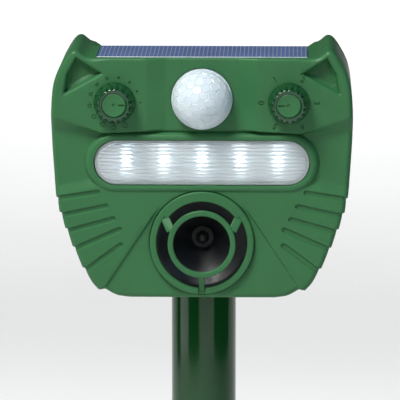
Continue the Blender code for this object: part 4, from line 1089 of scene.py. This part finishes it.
def end_tree(tree, output, result, slot):
    """Ends a tree in real geometry with its material."""
    real = add_node(tree, "GeometryNodeRealizeInstances", {"Geometry": result})
    shown = add_node(tree, "GeometryNodeSetMaterial", {"Geometry": real.outputs[0],
                                                       "Material": MATERIALS[slot]})
    tree.links.new(shown.outputs[0], output.inputs[0])


def run_tree(name, tree, values):
    """An object with the mesh that a tree makes from these input values."""
    obj = new_object(name, bpy.data.meshes.new(name))
    modifier = obj.modifiers.new("nodes", "NODES")
    modifier.node_group = tree
    for item in tree.interface.items_tree:
        if item.in_out == "INPUT" and item.name in values:
            modifier[item.identifier] = values[item.name]
    return apply_modifiers(obj)


def dome_tree():
    """The dome's skin: cells of a sphere's dual mesh, each a small raised lens."""
    tree, given, output = geometry_tree("dome_facets", {
        "Radius": ("NodeSocketFloat", 0.0148), "Groove": ("NodeSocketFloat", 0.0002),
        "Cell share": ("NodeSocketFloat", 0.9), "Centre": ("NodeSocketVector", None)})
    ball = add_node(tree, "GeometryNodeMeshIcoSphere", {"Radius": given.outputs["Radius"],
                                                        "Subdivisions": 3})
    turned = add_node(tree, "GeometryNodeTransform", {"Geometry": ball.outputs["Mesh"],
                                                      "Rotation": (math.radians(90), 0, 0)})
    cells = add_node(tree, "GeometryNodeDualMesh", {"Mesh": turned.outputs[0]})
    groove = given.outputs["Groove"]
    lenses = add_node(tree, "GeometryNodeExtrudeMesh", {"Mesh": cells.outputs[0], "Offset Scale": groove},
                      mode="FACES")
    lenses.inputs["Individual"].default_value = True
    shrunk = add_node(tree, "GeometryNodeScaleElements", {"Geometry": lenses.outputs["Mesh"],
                                                          "Selection": lenses.outputs["Top"],
                                                          "Scale": given.outputs["Cell share"]})
    welded = add_node(tree, "GeometryNodeMergeByDistance", {"Geometry": shrunk.outputs[0], "Distance": 1e-6})
    placed = add_node(tree, "GeometryNodeTransform", {"Geometry": welded.outputs[0],
                                                      "Translation": given.outputs["Centre"]})
    end_tree(tree, output, placed.outputs[0], "milky_lens")
    return tree


def make_dome(sizes):
    """The sensor's milky dome: facets on its cap, a plain skirt and a flange cut flat at its top."""
    groove = sizes.facet_groove
    centre = Vector((0, DOME_CENTRE_Y, SENSOR_Z + HEAD_Z)) * MM
    cap = run_tree("sensor_dome_surface", dome_tree(), {
        "Radius": (DOME_RADIUS + 0.05) * MM - groove, "Groove": groove, "Cell share": 0.84,
        "Centre": centre})
    bm = bmesh.new()
    bm.from_mesh(cap.data)
    bmesh.ops.remove_doubles(bm, verts=bm.verts, dist=1e-6)
    bmesh.ops.bisect_plane(bm, geom=[*bm.verts, *bm.edges, *bm.faces], plane_co=centre,
                           plane_no=(0, 1, 0), clear_outer=True)
    bmesh.ops.recalc_face_normals(bm, faces=bm.faces)
    bm.to_mesh(cap.data)
    bm.free()
    wall = cap.modifiers.new("wall", "SOLIDIFY")
    wall.thickness, wall.offset = 1 * MM, -1
    apply_modifiers(cap)
    base, back = -DOME_CENTRE_Y - 0.3, -(FACE_INSIDE_Y + 2.7)
    ring = [(DOME_RADIUS - 1.2, base + 0.6), (DOME_RADIUS - 0.05, base + 0.6), (DOME_RADIUS, base),
            (DOME_RADIUS, back), (DOME_RADIUS - 1.2, back)]
    at = (0, 0, SENSOR_Z + HEAD_Z)
    skirt = revolve("skirt", ring, at, "-Y", 96, closed=True)
    inner, outer = DOME_RADIUS - 0.5, DOME_RADIUS + DOME_FLANGE
    plate = [(inner, back + 0.4), (inner, back + 1.6), (outer, back + 1.6), (outer, back + 0.4)]
    flange = revolve("flange", plate, at, "-Y", 96, closed=True)
    ceiling = block("ceiling", (-30, -60, CAVITY_TOP - GAP + HEAD_Z), (30, 0, 140 + HEAD_Z))
    carve(flange, "DIFFERENCE", ceiling)
    carve(cap, "UNION", skirt, flange)
    return finish_piece(cap, "milky_lens", "head", ["sensor_dome"], sharp=7)


def make_grille():
    """Outer ring, raised inner ring, two slanting spokes above and an upright one below."""
    low, high = corner("speaker_grille"), corner("speaker_grille", True)
    front, back = -low.y, -high.y
    ring_front, opening = front - 3.6, 22.1
    at = (0, 0, SPEAKER_Z + HEAD_Z)
    outer = round_profile([(23, back), (GRILLE_RADIUS, back), (GRILLE_RADIUS, ring_front),
                           (opening, ring_front), (opening, back), (23, back)], 0.9)
    grille = revolve("speaker_grille_surface", outer[:-1], at, "-Y", 160, closed=True)
    inner = round_profile([(15, front - 2.4), (16.6, front - 2.4), (16.6, front), (13.8, front),
                           (13.8, front - 2.4), (15, front - 2.4)], 0.8)
    parts = [revolve("inner_ring", inner[:-1], at, "-Y", 128, closed=True)]
    lip_ring = [(20.4, back + 0.6), (24.4, back + 0.6), (24.4, ring_front + 0.02),
                (20.8, ring_front + 0.02), (20.4, ring_front - 0.4)]
    lip = revolve("lip", lip_ring, at, "-Y", 160, closed=True)
    wedge = [(0, SPEAKER_Z), (26, SPEAKER_Z + 19), (26, SPEAKER_Z + 40), (-26, SPEAKER_Z + 40),
             (-26, SPEAKER_Z + 19)]
    parts.append(carve(lip, "INTERSECT", slab("sector", wedge, -60, 0)))
    spokes = [((15.0, 6.6), (18.0, 12.5), (19.1, 14.6), 4.2),
              ((-15.0, 6.6), (-18.0, 12.5), (-19.1, 14.6), 4.2),
              ((0, -15.4), (0, -21.4), (0, -23.6), 2.9)]
    for *path, width in spokes:
        along = (Vector(path[-1]) - Vector(path[0])).normalized()
        side = Vector((-along.y, along.x)) * width / 2
        levels = [(front - 0.5, front - 2.3), (ring_front - 0.5, back + 1),
                  (ring_front - 0.7, back + 0.8)]
        bm = bmesh.new()
        corners = [bm.verts.new((x, -level, z + SPEAKER_Z + HEAD_Z))
                   for point, heights in zip(path, levels) for sign in (1, -1) for level in heights
                   for x, z in [Vector(point) + side * sign]]
        for face in ((0, 1, 3, 2), (8, 10, 11, 9), *[[k + i for i in ring] for k in (0, 4) for ring in
                     ((0, 4, 5, 1), (2, 3, 7, 6), (0, 2, 6, 4), (1, 5, 7, 3))]):
            bm.faces.new([corners[i] for i in face])
        parts.append(soften(from_bmesh("spoke", bm), 0.5, 3))
    slot = block("slot", (-1.9, -ring_front - 3, HEAD_Z + SPEAKER_Z - 27),
                 (1.9, -ring_front + 1.6, HEAD_Z + SPEAKER_Z - 21.6))
    carve(grille, "DIFFERENCE", slot)
    carve(grille, "UNION", *parts)
    return finish_piece(grille, "moulded_green", "head", ["speaker_grille"], sharp=40)


def make_horn():
    """The flared horn with its thin lip, and in its throat the plug in a ring of felt."""
    low, high = corner("speaker_horn"), corner("speaker_horn", True)
    mouth, back = -low.y, -high.y
    at = (0, 0, SPEAKER_Z + HEAD_Z)
    throat, widest, plug_radius, steps = 5.2, 21.5, 3.1, 26
    flare = []
    for i in range(steps + 1):
        share = i / steps
        flare.append((throat * (widest / throat) ** (share**0.7), back + (mouth - back) * share))
    flange = -FACE_INSIDE_Y - GAP
    outside = [(22.7, mouth - 0.3), (22.7, flange), (24.5, flange), (24.5, flange - 1.3),
               (21.3, flange - 1.3)]
    skin = [(r + 1.2, h) for r, h in reversed(flare) if back + 2.2 < h < flange - 2]
    rear = [(8.2, back + 1.6), (13, back + 1.6), (13, back)]
    profile = flare + [(21.9, mouth), (22.4, mouth)] + outside + skin + rear
    horn = revolve("speaker_horn_surface", profile, at, "-Y", 128, closed=True)
    finish_piece(horn, "black_plastic", "head", ["speaker_horn"], sharp=40)
    tip = [(0, 6), (0.9, 5.9), (1.8, 5.3), (2.5, 4.1), (2.9, 2.4), (plug_radius, 0), (0, 0)]
    plug = revolve("phase_plug_surface", [(r, h + back + GAP) for r, h in reversed(tip)], at, "-Y", 64)
    finish_piece(plug, "black_plastic", "head", ["phase_plug"], sharp=40)
    inner, outer, foot, top = plug_radius + 0.03, throat - 0.03, back + GAP, back + 0.7
    felt = [(inner, foot), (outer, foot), (outer, top), (inner, top)]
    ring = revolve("throat_felt_surface", felt, at, "-Y", 64, closed=True)
    return finish_piece(ring, "rubber", "head")


def make_knob(node, body, pointer, sizes):
    """A knob: plain flared foot, fluted crown, a ring round a dished cap, a pointer and a dimple."""
    low, high = corner(node), corner(node, True)
    x, flutes = (low.x + high.x) / 2, sizes.flutes
    foot, height, around = high.y, high.y - low.y, 24 * sizes.flutes
    # Radius, tenths of the height above the foot, and depth of the flutes.
    rings = [(KNOB_RADIUS - 0.35, 0.0, 0), (KNOB_RADIUS, 0.35, 0), (KNOB_RADIUS, 1.5, 0), (9.85, 2.1, 0),
             (9.6, 3.2, 0), (9.4, 4.4, 0.1), (9.2, 5.6, 0.6), (9.0, 6.8, 1.1), (8.75, 7.9, 1.25),
             (8.4, 8.9, 1.2), (8.0, 9.5, 0.9), (7.6, 9.85, 0.4), (7.1, 10.0, 0.1), (6.4, 10.0, 0),
             (6.0, 9.85, 0), (5.85, 9.4, 0), (5.8, 8.6, 0)]
    bm = bmesh.new()
    made = []
    for radius, level, depth in rings:
        ring = []
        for i in range(around):
            angle = 2 * math.pi * i / around
            wave = abs(math.cos(flutes * angle / 2)) ** 0.7
            r = radius - depth * (1 - wave)
            ring.append(bm.verts.new((x + r * math.cos(angle), foot - level * height / 10,
                                      KNOB_Z + HEAD_Z + r * math.sin(angle))))
        made.append(ring)
    for lower, upper in zip(made, made[1:]):
        for i in range(around):
            j = (i + 1) % around
            bm.faces.new((lower[i], lower[j], upper[j], upper[i]))
    bm.faces.new(made[0])
    bm.faces.new(made[-1])
    knob = from_bmesh(f"{node}_surface", bm)
    at = (x, 0, KNOB_Z + HEAD_Z)
    carve(knob, "DIFFERENCE", rod("bore", 3.3, 0, -foot + height * 0.74, at))
    finish_piece(knob, "knob_green", body, [node], sharp=45)

    top = -foot + height * 0.86
    dished = [(0, top + 0.35), (0.7, top + 0.35), (0.9, top + 0.75), (2.5, top + 0.8), (4.6, top + 0.95),
              (5.4, top + 1.15), (5.7, top + 0.95), (5.7, top), (0, top)]
    cap = revolve(f"{node}_cap_surface", list(reversed(dished)), at, "-Y", 96)
    hand = slab("hand", rounded_rectangle(1.7, 0.42, 0.4, 3.6, 0, 6), low.y + 0.2, -top - 0.25)
    hand.data.transform(Matrix.Translation((0, 0, -HEAD_Z * MM)))
    hand.data.transform(Matrix.Translation(Vector((x, 0, KNOB_Z + HEAD_Z)) * MM)
                        @ Matrix.Rotation(-pointer, 4, "Y"))
    carve(cap, "DIFFERENCE", hand)
    return finish_piece(cap, "moulded_green", body, sharp=40)


# ------------------------------------------------------------------ panel, pole and service parts
def make_tray():
    """The solar panel's frame, a shallow tray with softened rims, and the bead of sealant in it."""
    tray = block("solar_tray_surface", TRAY_LOW, TRAY_HIGH)
    soften(tray, 0.45, 3)
    low = Vector(TRAY_LOW) + Vector((1.2, 1.2, 0.9))
    high = Vector(TRAY_HIGH) + Vector((-1.2, -1.2, 5))
    lead = rod("lead_hole", 2.5, -5, 20, (0, -6, TRAY_LOW.z), "Z")
    carve(tray, "DIFFERENCE", block("inside", low, high), lead)
    finish_piece(tray, "moulded_green", "head", ["solar_tray"])
    low, high = corner("solar_glass"), corner("solar_glass", True)
    # A thin milky white strip along the glass's front edge: a painted highlight line.
    highlight_strip = block("glass_edge_highlight_surface", (low.x, low.y, high.z + 0.02), (high.x, low.y + 0.6, high.z + 0.4))
    soften(highlight_strip, 0.12, 2)
    return finish_piece(highlight_strip, "milky_lens", "head")


def make_pole():
    """Two glossy tube sections and the stake with its collar and cross blade."""
    upper, lower = corner("pole_upper"), corner("pole_lower")
    top, base = corner("pole_upper", True).z, upper.z
    bore = POLE_RADIUS - WALL
    tube = round_profile([(15, base), (POLE_RADIUS, base), (POLE_RADIUS, top), (bore, top), (bore, base),
                          (15, base)], 0.5, 3)
    piece = revolve("pole_upper_surface", tube[:-1], segments=160, closed=True)
    finish_piece(piece, "pole_green", "pole", ["pole_upper"])
    shoulder, tip, foot = base - GAP, corner("pole_lower", True).z, lower.z
    spigot = bore - GAP
    inside = spigot - WALL
    tube = [(15, foot), (POLE_RADIUS, foot), (POLE_RADIUS, shoulder), (spigot, shoulder), (spigot, tip),
            (inside, tip), (inside, shoulder - WALL), (bore, shoulder - 2 * WALL), (bore, foot), (15, foot)]
    piece = revolve("pole_lower_surface", round_profile(tube, 0.5, 3)[:-1], segments=160, closed=True)
    finish_piece(piece, "pole_green", "pole", ["pole_lower"])

    low, high = corner("ground_stake"), corner("ground_stake", True)
    collar = high.x
    profile = round_profile([(0, 0), (collar, 0), (collar, 3), (POLE_RADIUS + 0.5, 3.1), (spigot, 3.1),
                             (spigot, high.z), (0, high.z)], 0.8, 4)
    stake = revolve("ground_stake_surface", profile, segments=128)
    blades = []
    for turn in (0, 90):
        half, depth = 13, low.z
        outline = [(-half, 1), (-half, depth * 0.35), (-1.2, depth), (1.2, depth), (half, depth * 0.35),
                   (half, 1)]
        blade = slab("blade", [(x, z - HEAD_Z) for x, z in outline], -1.5, 1.5)
        blade.data.transform(Matrix.Rotation(math.radians(turn), 4, "Z"))
        blades.append(blade)
    webs = []
    for z, radius in ((-18, 9), (-36, 8)):
        profile = [(0, z - 0.9), (radius, z - 0.9), (radius, z + 0.9), (0, z + 0.9)]
        webs.append(revolve("web", profile, segments=64))
    carve(stake, "UNION", *blades, *webs)
    soften(stake, 0.4, 2, 40)
    return finish_piece(stake, "pole_green", "pole", ["ground_stake"])


def bar_tree():
    """A row of rounded bars, spaced along Z."""
    tree, given, output = geometry_tree("grip_bars", {
        "Count": ("NodeSocketInt", 6), "Pitch": ("NodeSocketFloat", 0.0024),
        "Length": ("NodeSocketFloat", 0.018), "Radius": ("NodeSocketFloat", 0.0006),
        "Start": ("NodeSocketVector", None)})
    step = add_node(tree, "ShaderNodeCombineXYZ", {"Z": given.outputs["Pitch"]})
    row = add_node(tree, "GeometryNodeMeshLine", {"Count": given.outputs["Count"],
                                                  "Start Location": given.outputs["Start"],
                                                  "Offset": step.outputs[0]})
    bar = add_node(tree, "GeometryNodeMeshCylinder", {"Vertices": 24, "Radius": given.outputs["Radius"],
                                                      "Depth": given.outputs["Length"]})
    laid = add_node(tree, "GeometryNodeTransform", {"Geometry": bar.outputs[0],
                                                    "Rotation": (0, math.radians(90), 0)})
    bars = add_node(tree, "GeometryNodeInstanceOnPoints", {"Points": row.outputs[0],
                                                           "Instance": laid.outputs[0]})
    end_tree(tree, output, bars.outputs[0], "moulded_green")
    return tree


def make_door():
    """The battery door with its finger grip, and the port's rubber cover."""
    low, high = corner("battery_door"), corner("battery_door", True)
    centre, half = (low + high) / 2, (high - low) / 2
    loop = rounded_rectangle(half.x, half.z, 3, 0, centre.z - HEAD_Z)
    door = slab("battery_door_surface", loop, low.y, high.y)
    soften(door, 0.35, 3, 60)
    start = Vector((0, high.y - 0.1, centre.z - 15)) * MM
    bars = run_tree("grip", bar_tree(), {"Count": 6, "Pitch": 2.4 * MM, "Length": 18 * MM, "Radius": 0.6 * MM,
                                         "Start": start})
    cuts = []
    for side in ("left", "right"):
        at = middle(f"door_screw_{side}")
        cuts.append(rod("hole", 1.2, 5, 40, (at.x, 0, at.z), "Y", 32))
        cuts.append(rod("sink", 2.2, high.y - 1.2, 40, (at.x, 0, at.z), "Y", 48))
    carve(door, "DIFFERENCE", bars, *cuts)
    finish_piece(door, "moulded_green", "head", ["battery_door"])

    low, high = corner("usb_cover"), corner("usb_cover", True)
    centre, half = (low + high) / 2, (high - low) / 2
    z = centre.z - HEAD_Z
    loop = rounded_rectangle(half.x, half.z, 1.8, centre.x, z)
    flap = slab("usb_cover_surface", loop, low.y + 0.9, REAR_Y)
    soften(flap, 0.3, 3, 60)
    stub = slab("stub", rounded_rectangle(4.2, 1.3, 0.8, centre.x, z), low.y, REAR_Y - 0.5)
    pull = slab("pull", rounded_rectangle(4, 0.7, 0.6, centre.x, z + half.z - 1.6), REAR_Y - 0.5, high.y)
    soften(pull, 0.25, 2, 60)
    carve(flap, "UNION", stub, pull)
    return finish_piece(flap, "rubber", "usb_cover", ["usb_cover"])


def screw_tree():
    """A pan-head screw with a cross recess, at a place, its head towards the back."""
    tree, given, output = geometry_tree("pan_head_screw", {
        "Head radius": ("NodeSocketFloat", 0.003), "Head height": ("NodeSocketFloat", 0.0022),
        "Shank radius": ("NodeSocketFloat", 0.0013), "Shank length": ("NodeSocketFloat", 0.02),
        "Place": ("NodeSocketVector", None)})
    half = add_node(tree, "ShaderNodeMath", {0: given.outputs["Head height"], 1: 0.5},
                    operation="MULTIPLY")
    head = add_node(tree, "GeometryNodeMeshCylinder", {"Vertices": 48, "Radius": given.outputs["Head radius"],
                                                       "Depth": given.outputs["Head height"]})
    lift = add_node(tree, "ShaderNodeCombineXYZ", {"Z": half.outputs[0]})
    head_up = add_node(tree, "GeometryNodeTransform", {"Geometry": head.outputs[0],
                                                       "Translation": lift.outputs[0]})
    shank = add_node(tree, "GeometryNodeMeshCylinder", {"Vertices": 32,
                                                        "Radius": given.outputs["Shank radius"],
                                                        "Depth": given.outputs["Shank length"]})
    drop = add_node(tree, "ShaderNodeMath", {0: given.outputs["Shank length"], 1: -0.499},
                    operation="MULTIPLY")
    down = add_node(tree, "ShaderNodeCombineXYZ", {"Z": drop.outputs[0]})
    shank_down = add_node(tree, "GeometryNodeTransform", {"Geometry": shank.outputs[0],
                                                          "Translation": down.outputs[0]})
    parts = []
    for turn in (0, 90):
        arm = add_node(tree, "GeometryNodeMeshCube", {"Size": (0.0034, 0.0006, 0.0022)})
        turned = add_node(tree, "GeometryNodeTransform", {"Geometry": arm.outputs[0],
                                                          "Rotation": (0, 0, math.radians(turn))})
        parts.append(turned.outputs[0])
    cross = add_node(tree, "GeometryNodeMeshBoolean", operation="UNION", solver="EXACT")
    for part in parts:
        tree.links.new(part, cross.inputs["Mesh 2"])
    raised = add_node(tree, "ShaderNodeCombineXYZ", {"Z": given.outputs["Head height"]})
    cross_up = add_node(tree, "GeometryNodeTransform", {"Geometry": cross.outputs[0],
                                                        "Translation": raised.outputs[0]})
    joined = add_node(tree, "GeometryNodeMeshBoolean", operation="UNION", solver="EXACT")
    tree.links.new(head_up.outputs[0], joined.inputs["Mesh 2"])
    tree.links.new(shank_down.outputs[0], joined.inputs["Mesh 2"])
    cut = add_node(tree, "GeometryNodeMeshBoolean", {"Mesh 1": joined.outputs[0]}, operation="DIFFERENCE",
                   solver="EXACT")
    tree.links.new(cross_up.outputs[0], cut.inputs["Mesh 2"])
    faced = add_node(tree, "GeometryNodeTransform", {"Geometry": cut.outputs[0],
                                                     "Rotation": (math.radians(-90), 0, 0),
                                                     "Translation": given.outputs["Place"]})
    end_tree(tree, output, faced.outputs[0], "steel")
    return tree


def make_screws():
    """Case and door screws, whose heads face the back."""
    tree = screw_tree()
    kinds = [(f"case_screw_{i}", 2.9, 2.2, 1.3) for i in range(1, 5)]
    kinds += [(f"door_screw_{side}", 1.9, 0.8, 0.9) for side in ("left", "right")]
    for node, head, height, shank in kinds:
        low, high = corner(node), corner(node, True)
        seat = high.y - height
        place = Vector((middle(node).x, seat, middle(node).z)) * MM
        screw = run_tree(f"{node}_surface", tree, {
            "Head radius": head * MM, "Head height": height * MM, "Shank radius": shank * MM,
            "Shank length": (seat - low.y) * MM, "Place": place})
        finish_piece(screw, "steel", "head", [node])


def dress_nodes():
    """Gives each node that stays its slot's material."""
    for part in frame["record"]["subparts"]:
        obj = frame["nodes"][part["node"]]
        obj.data.materials.clear()
        obj.data.materials.append(MATERIALS[part["material_slot"]])


# ------------------------------------------------------------------ stage
CARD_DISTANCE = 1300
VIEW_AZIMUTH = 1.4
VIEW_ELEVATION = 9.5
VIEW_DISTANCE = 2.0
VIEW_WIDTH = 0.1944
VIEW_TARGET = Vector((-0.85, FACE_Y, HEAD_Z + 49.1))


def area_light(name, azimuth, elevation, distance, size, watts, tone=(1, 1, 1), diffuse=1.0):
    """A softbox that faces the head's middle. Azimuth 0 is in front, positive to the right."""
    light = bpy.data.lights.new(name, "AREA")
    light.shape = "RECTANGLE"
    light.size, light.size_y = size
    light.energy = watts
    light.color = tone
    light.diffuse_factor = diffuse
    obj = bpy.data.objects.new(name, light)
    bpy.context.scene.collection.objects.link(obj)
    a, e = math.radians(azimuth), math.radians(elevation)
    toward = Vector((math.sin(a) * math.cos(e), -math.cos(a) * math.cos(e), math.sin(e)))
    target = Vector((0, 0, (HEAD_Z + 40) * MM))
    obj.location = target + toward * distance
    obj.rotation_euler = toward.to_track_quat("Z", "Y").to_euler()
    return obj


def make_camera():
    camera = bpy.data.cameras.new("camera")
    camera.sensor_width = 36
    camera.lens = 36 * VIEW_DISTANCE / VIEW_WIDTH
    camera.clip_end = 100
    obj = bpy.data.objects.new("camera", camera)
    bpy.context.scene.collection.objects.link(obj)
    a, e = math.radians(VIEW_AZIMUTH), math.radians(VIEW_ELEVATION)
    toward = Vector((math.sin(a) * math.cos(e), -math.cos(a) * math.cos(e), math.sin(e)))
    obj.location = VIEW_TARGET * MM + toward * VIEW_DISTANCE
    obj.rotation_euler = toward.to_track_quat("Z", "Y").to_euler()
    bpy.context.scene.camera = obj


def make_floor():
    bm = bmesh.new()
    bmesh.ops.create_circle(bm, cap_ends=True, segments=96, radius=40000)
    bmesh.ops.translate(bm, vec=(0, 0, corner("ground_stake").z - 0.5), verts=bm.verts)
    floor = from_bmesh("floor", bm)
    made, tree, shader, place = start_material("matt_white_floor", linear("f7f7f6"), 0.9)
    mottle = add_node(tree, "ShaderNodeTexNoise", {"Vector": place, "Scale": 3.0}).outputs["Fac"]
    vary_colour(tree, shader, mottle, linear("f6f6f5"), linear("f9f9f9"))
    floor.data.materials.append(made)
    MATERIALS["black_card"] = start_material("black_felt_card", linear("050505"), 1.0)[0]
    make_card("card_left", -35, 880, 0, 800, CARD_DISTANCE)
    make_card("card_far_left", -99.5, 390, 0, 800, CARD_DISTANCE)
    make_card("card_right", 69, 1560, 0, 800, CARD_DISTANCE)
    make_card("card_back", 180, 3000, 570, 1500, 600)


def make_card(name, azimuth, width, foot, top, distance):
    """A black card above the floor, for the dark bands that gloss needs beside a softbox."""
    half, turn = width / 2, Matrix.Rotation(math.radians(azimuth), 3, "Z")
    floor_z = corner("ground_stake").z - 0.5
    bm = bmesh.new()
    corners = [(-half, foot), (half, foot), (half, top), (-half, top)]
    bm.faces.new([bm.verts.new(turn @ Vector((x, -distance, floor_z + z))) for x, z in corners])
    card = from_bmesh(name, bm)
    card.visible_camera = False
    card.data.materials.append(MATERIALS["black_card"])


def make_lights():
    world = bpy.data.worlds.new("studio")
    bpy.context.scene.world = world
    world.use_nodes = True
    tree = world.node_tree
    tree.nodes.clear()
    dim = add_node(tree, "ShaderNodeBackground", {"Color": (0.85, 0.93, 1.0, 1), "Strength": 0.07})
    add_node(tree, "ShaderNodeOutputWorld", {"Surface": dim.outputs[0]})
    area_light("key", -32, 54, 1.5, (0.5, 0.5), 26, (1, 0.99, 0.96))
    area_light("fill_right", 48, 40, 1.5, (0.7, 0.7), 2.6, (0.35, 0.66, 1))
    area_light("softbox_front", 11, 4, 1.4, (1.4, 1.6), 4.6, diffuse=0.05)
    area_light("softbox_left", -73, 4, 1.4, (0.88, 1.6), 5.0, (0.97, 1, 0.98), diffuse=0.3)
    glow = area_light("backdrop", 0, 90, 2.6, (9, 6), 330)
    glow.location.y = 4.6


# ------------------------------------------------------------------ add-on
def operator(idname, label, words, action):
    """An Operator class that runs one making function."""

    def execute(self, context):
        action(context.scene)
        return {"FINISHED"}

    return type("REPELLER_OT_" + idname, (bpy.types.Operator,), {
        "__doc__": words, "bl_idname": "repeller." + idname, "bl_label": label, "execute": execute})


def build_materials(scene):
    MATERIALS.update(make_materials(scene.repeller_colours))
    dress_nodes()


def build_knobs(scene):
    make_knob("sensitivity_knob", "sensitivity_knob", 0.0, scene.repeller_sizes)
    make_knob("mode_knob", "mode_knob", math.pi, scene.repeller_sizes)


def build_stage(scene):
    scene.view_settings.view_transform = "Standard"
    make_camera()
    make_floor()
    make_lights()


OPERATORS = [
    operator("stage", "Stage", "Adds the floor, the lights and the camera", build_stage),
    operator("materials", "Materials", "Makes the materials and dresses the inner parts", build_materials),
    operator("front_shell", "Face", "Makes the head's face", lambda s: make_front(s.repeller_sizes)),
    operator("rear_shell", "Back", "Makes the head's back", lambda s: make_rear(s.repeller_sizes)),
    operator("lamp_lens", "Lens", "Makes the lamp's ribbed lens", lambda s: make_lens(s.repeller_sizes)),
    operator("reflector", "Reflector", "Makes the lamp's reflector", lambda s: make_reflector()),
    operator("sensor_dome", "Dome", "Makes the sensor's faceted dome", lambda s: make_dome(s.repeller_sizes)),
    operator("grille", "Grille", "Makes the speaker's grille", lambda s: make_grille()),
    operator("horn", "Horn", "Makes the speaker's horn and plug", lambda s: make_horn()),
    operator("knobs", "Knobs", "Makes both knobs", build_knobs),
    operator("solar_tray", "Panel frame", "Makes the solar panel's frame", lambda s: make_tray()),
    operator("pole", "Pole and stake", "Makes the pole's sections and the stake", lambda s: make_pole()),
    operator("door", "Door and cover", "Makes the battery door and the port's cover", lambda s: make_door()),
    operator("screws", "Screws", "Makes the case and door screws", lambda s: make_screws()),
]


class REPELLER_PT_panel(bpy.types.Panel):
    """Lists the repeller's making steps and its sizes"""

    bl_label = "Solar animal repeller"
    bl_idname = "REPELLER_PT_panel"
    bl_space_type = "VIEW_3D"
    bl_region_type = "UI"
    bl_category = "Repeller"

    def draw(self, context):
        for group in (context.scene.repeller_sizes, context.scene.repeller_colours):
            for key in group.bl_rna.properties.keys():
                if key not in ("rna_type", "name"):
                    self.layout.prop(group, key)
        for made in OPERATORS:
            self.layout.operator(made.bl_idname)


CLASSES = [RepellerSizes, RepellerColours, *OPERATORS, REPELLER_PT_panel]


def register():
    for cls in CLASSES:
        bpy.utils.register_class(cls)
    bpy.types.Scene.repeller_sizes = bpy.props.PointerProperty(type=RepellerSizes)
    bpy.types.Scene.repeller_colours = bpy.props.PointerProperty(type=RepellerColours)


def unregister():
    del bpy.types.Scene.repeller_sizes
    del bpy.types.Scene.repeller_colours
    for cls in reversed(CLASSES):
        bpy.utils.unregister_class(cls)


def main():
    for obj in list(bpy.data.objects):
        if obj.name in ("Cube", "Light", "Camera"):
            bpy.data.objects.remove(obj, do_unlink=True)
    register()
    for made in OPERATORS:
        category, name = made.bl_idname.split(".")
        getattr(getattr(bpy.ops, category), name)()


if __name__ == "__main__":
    main()
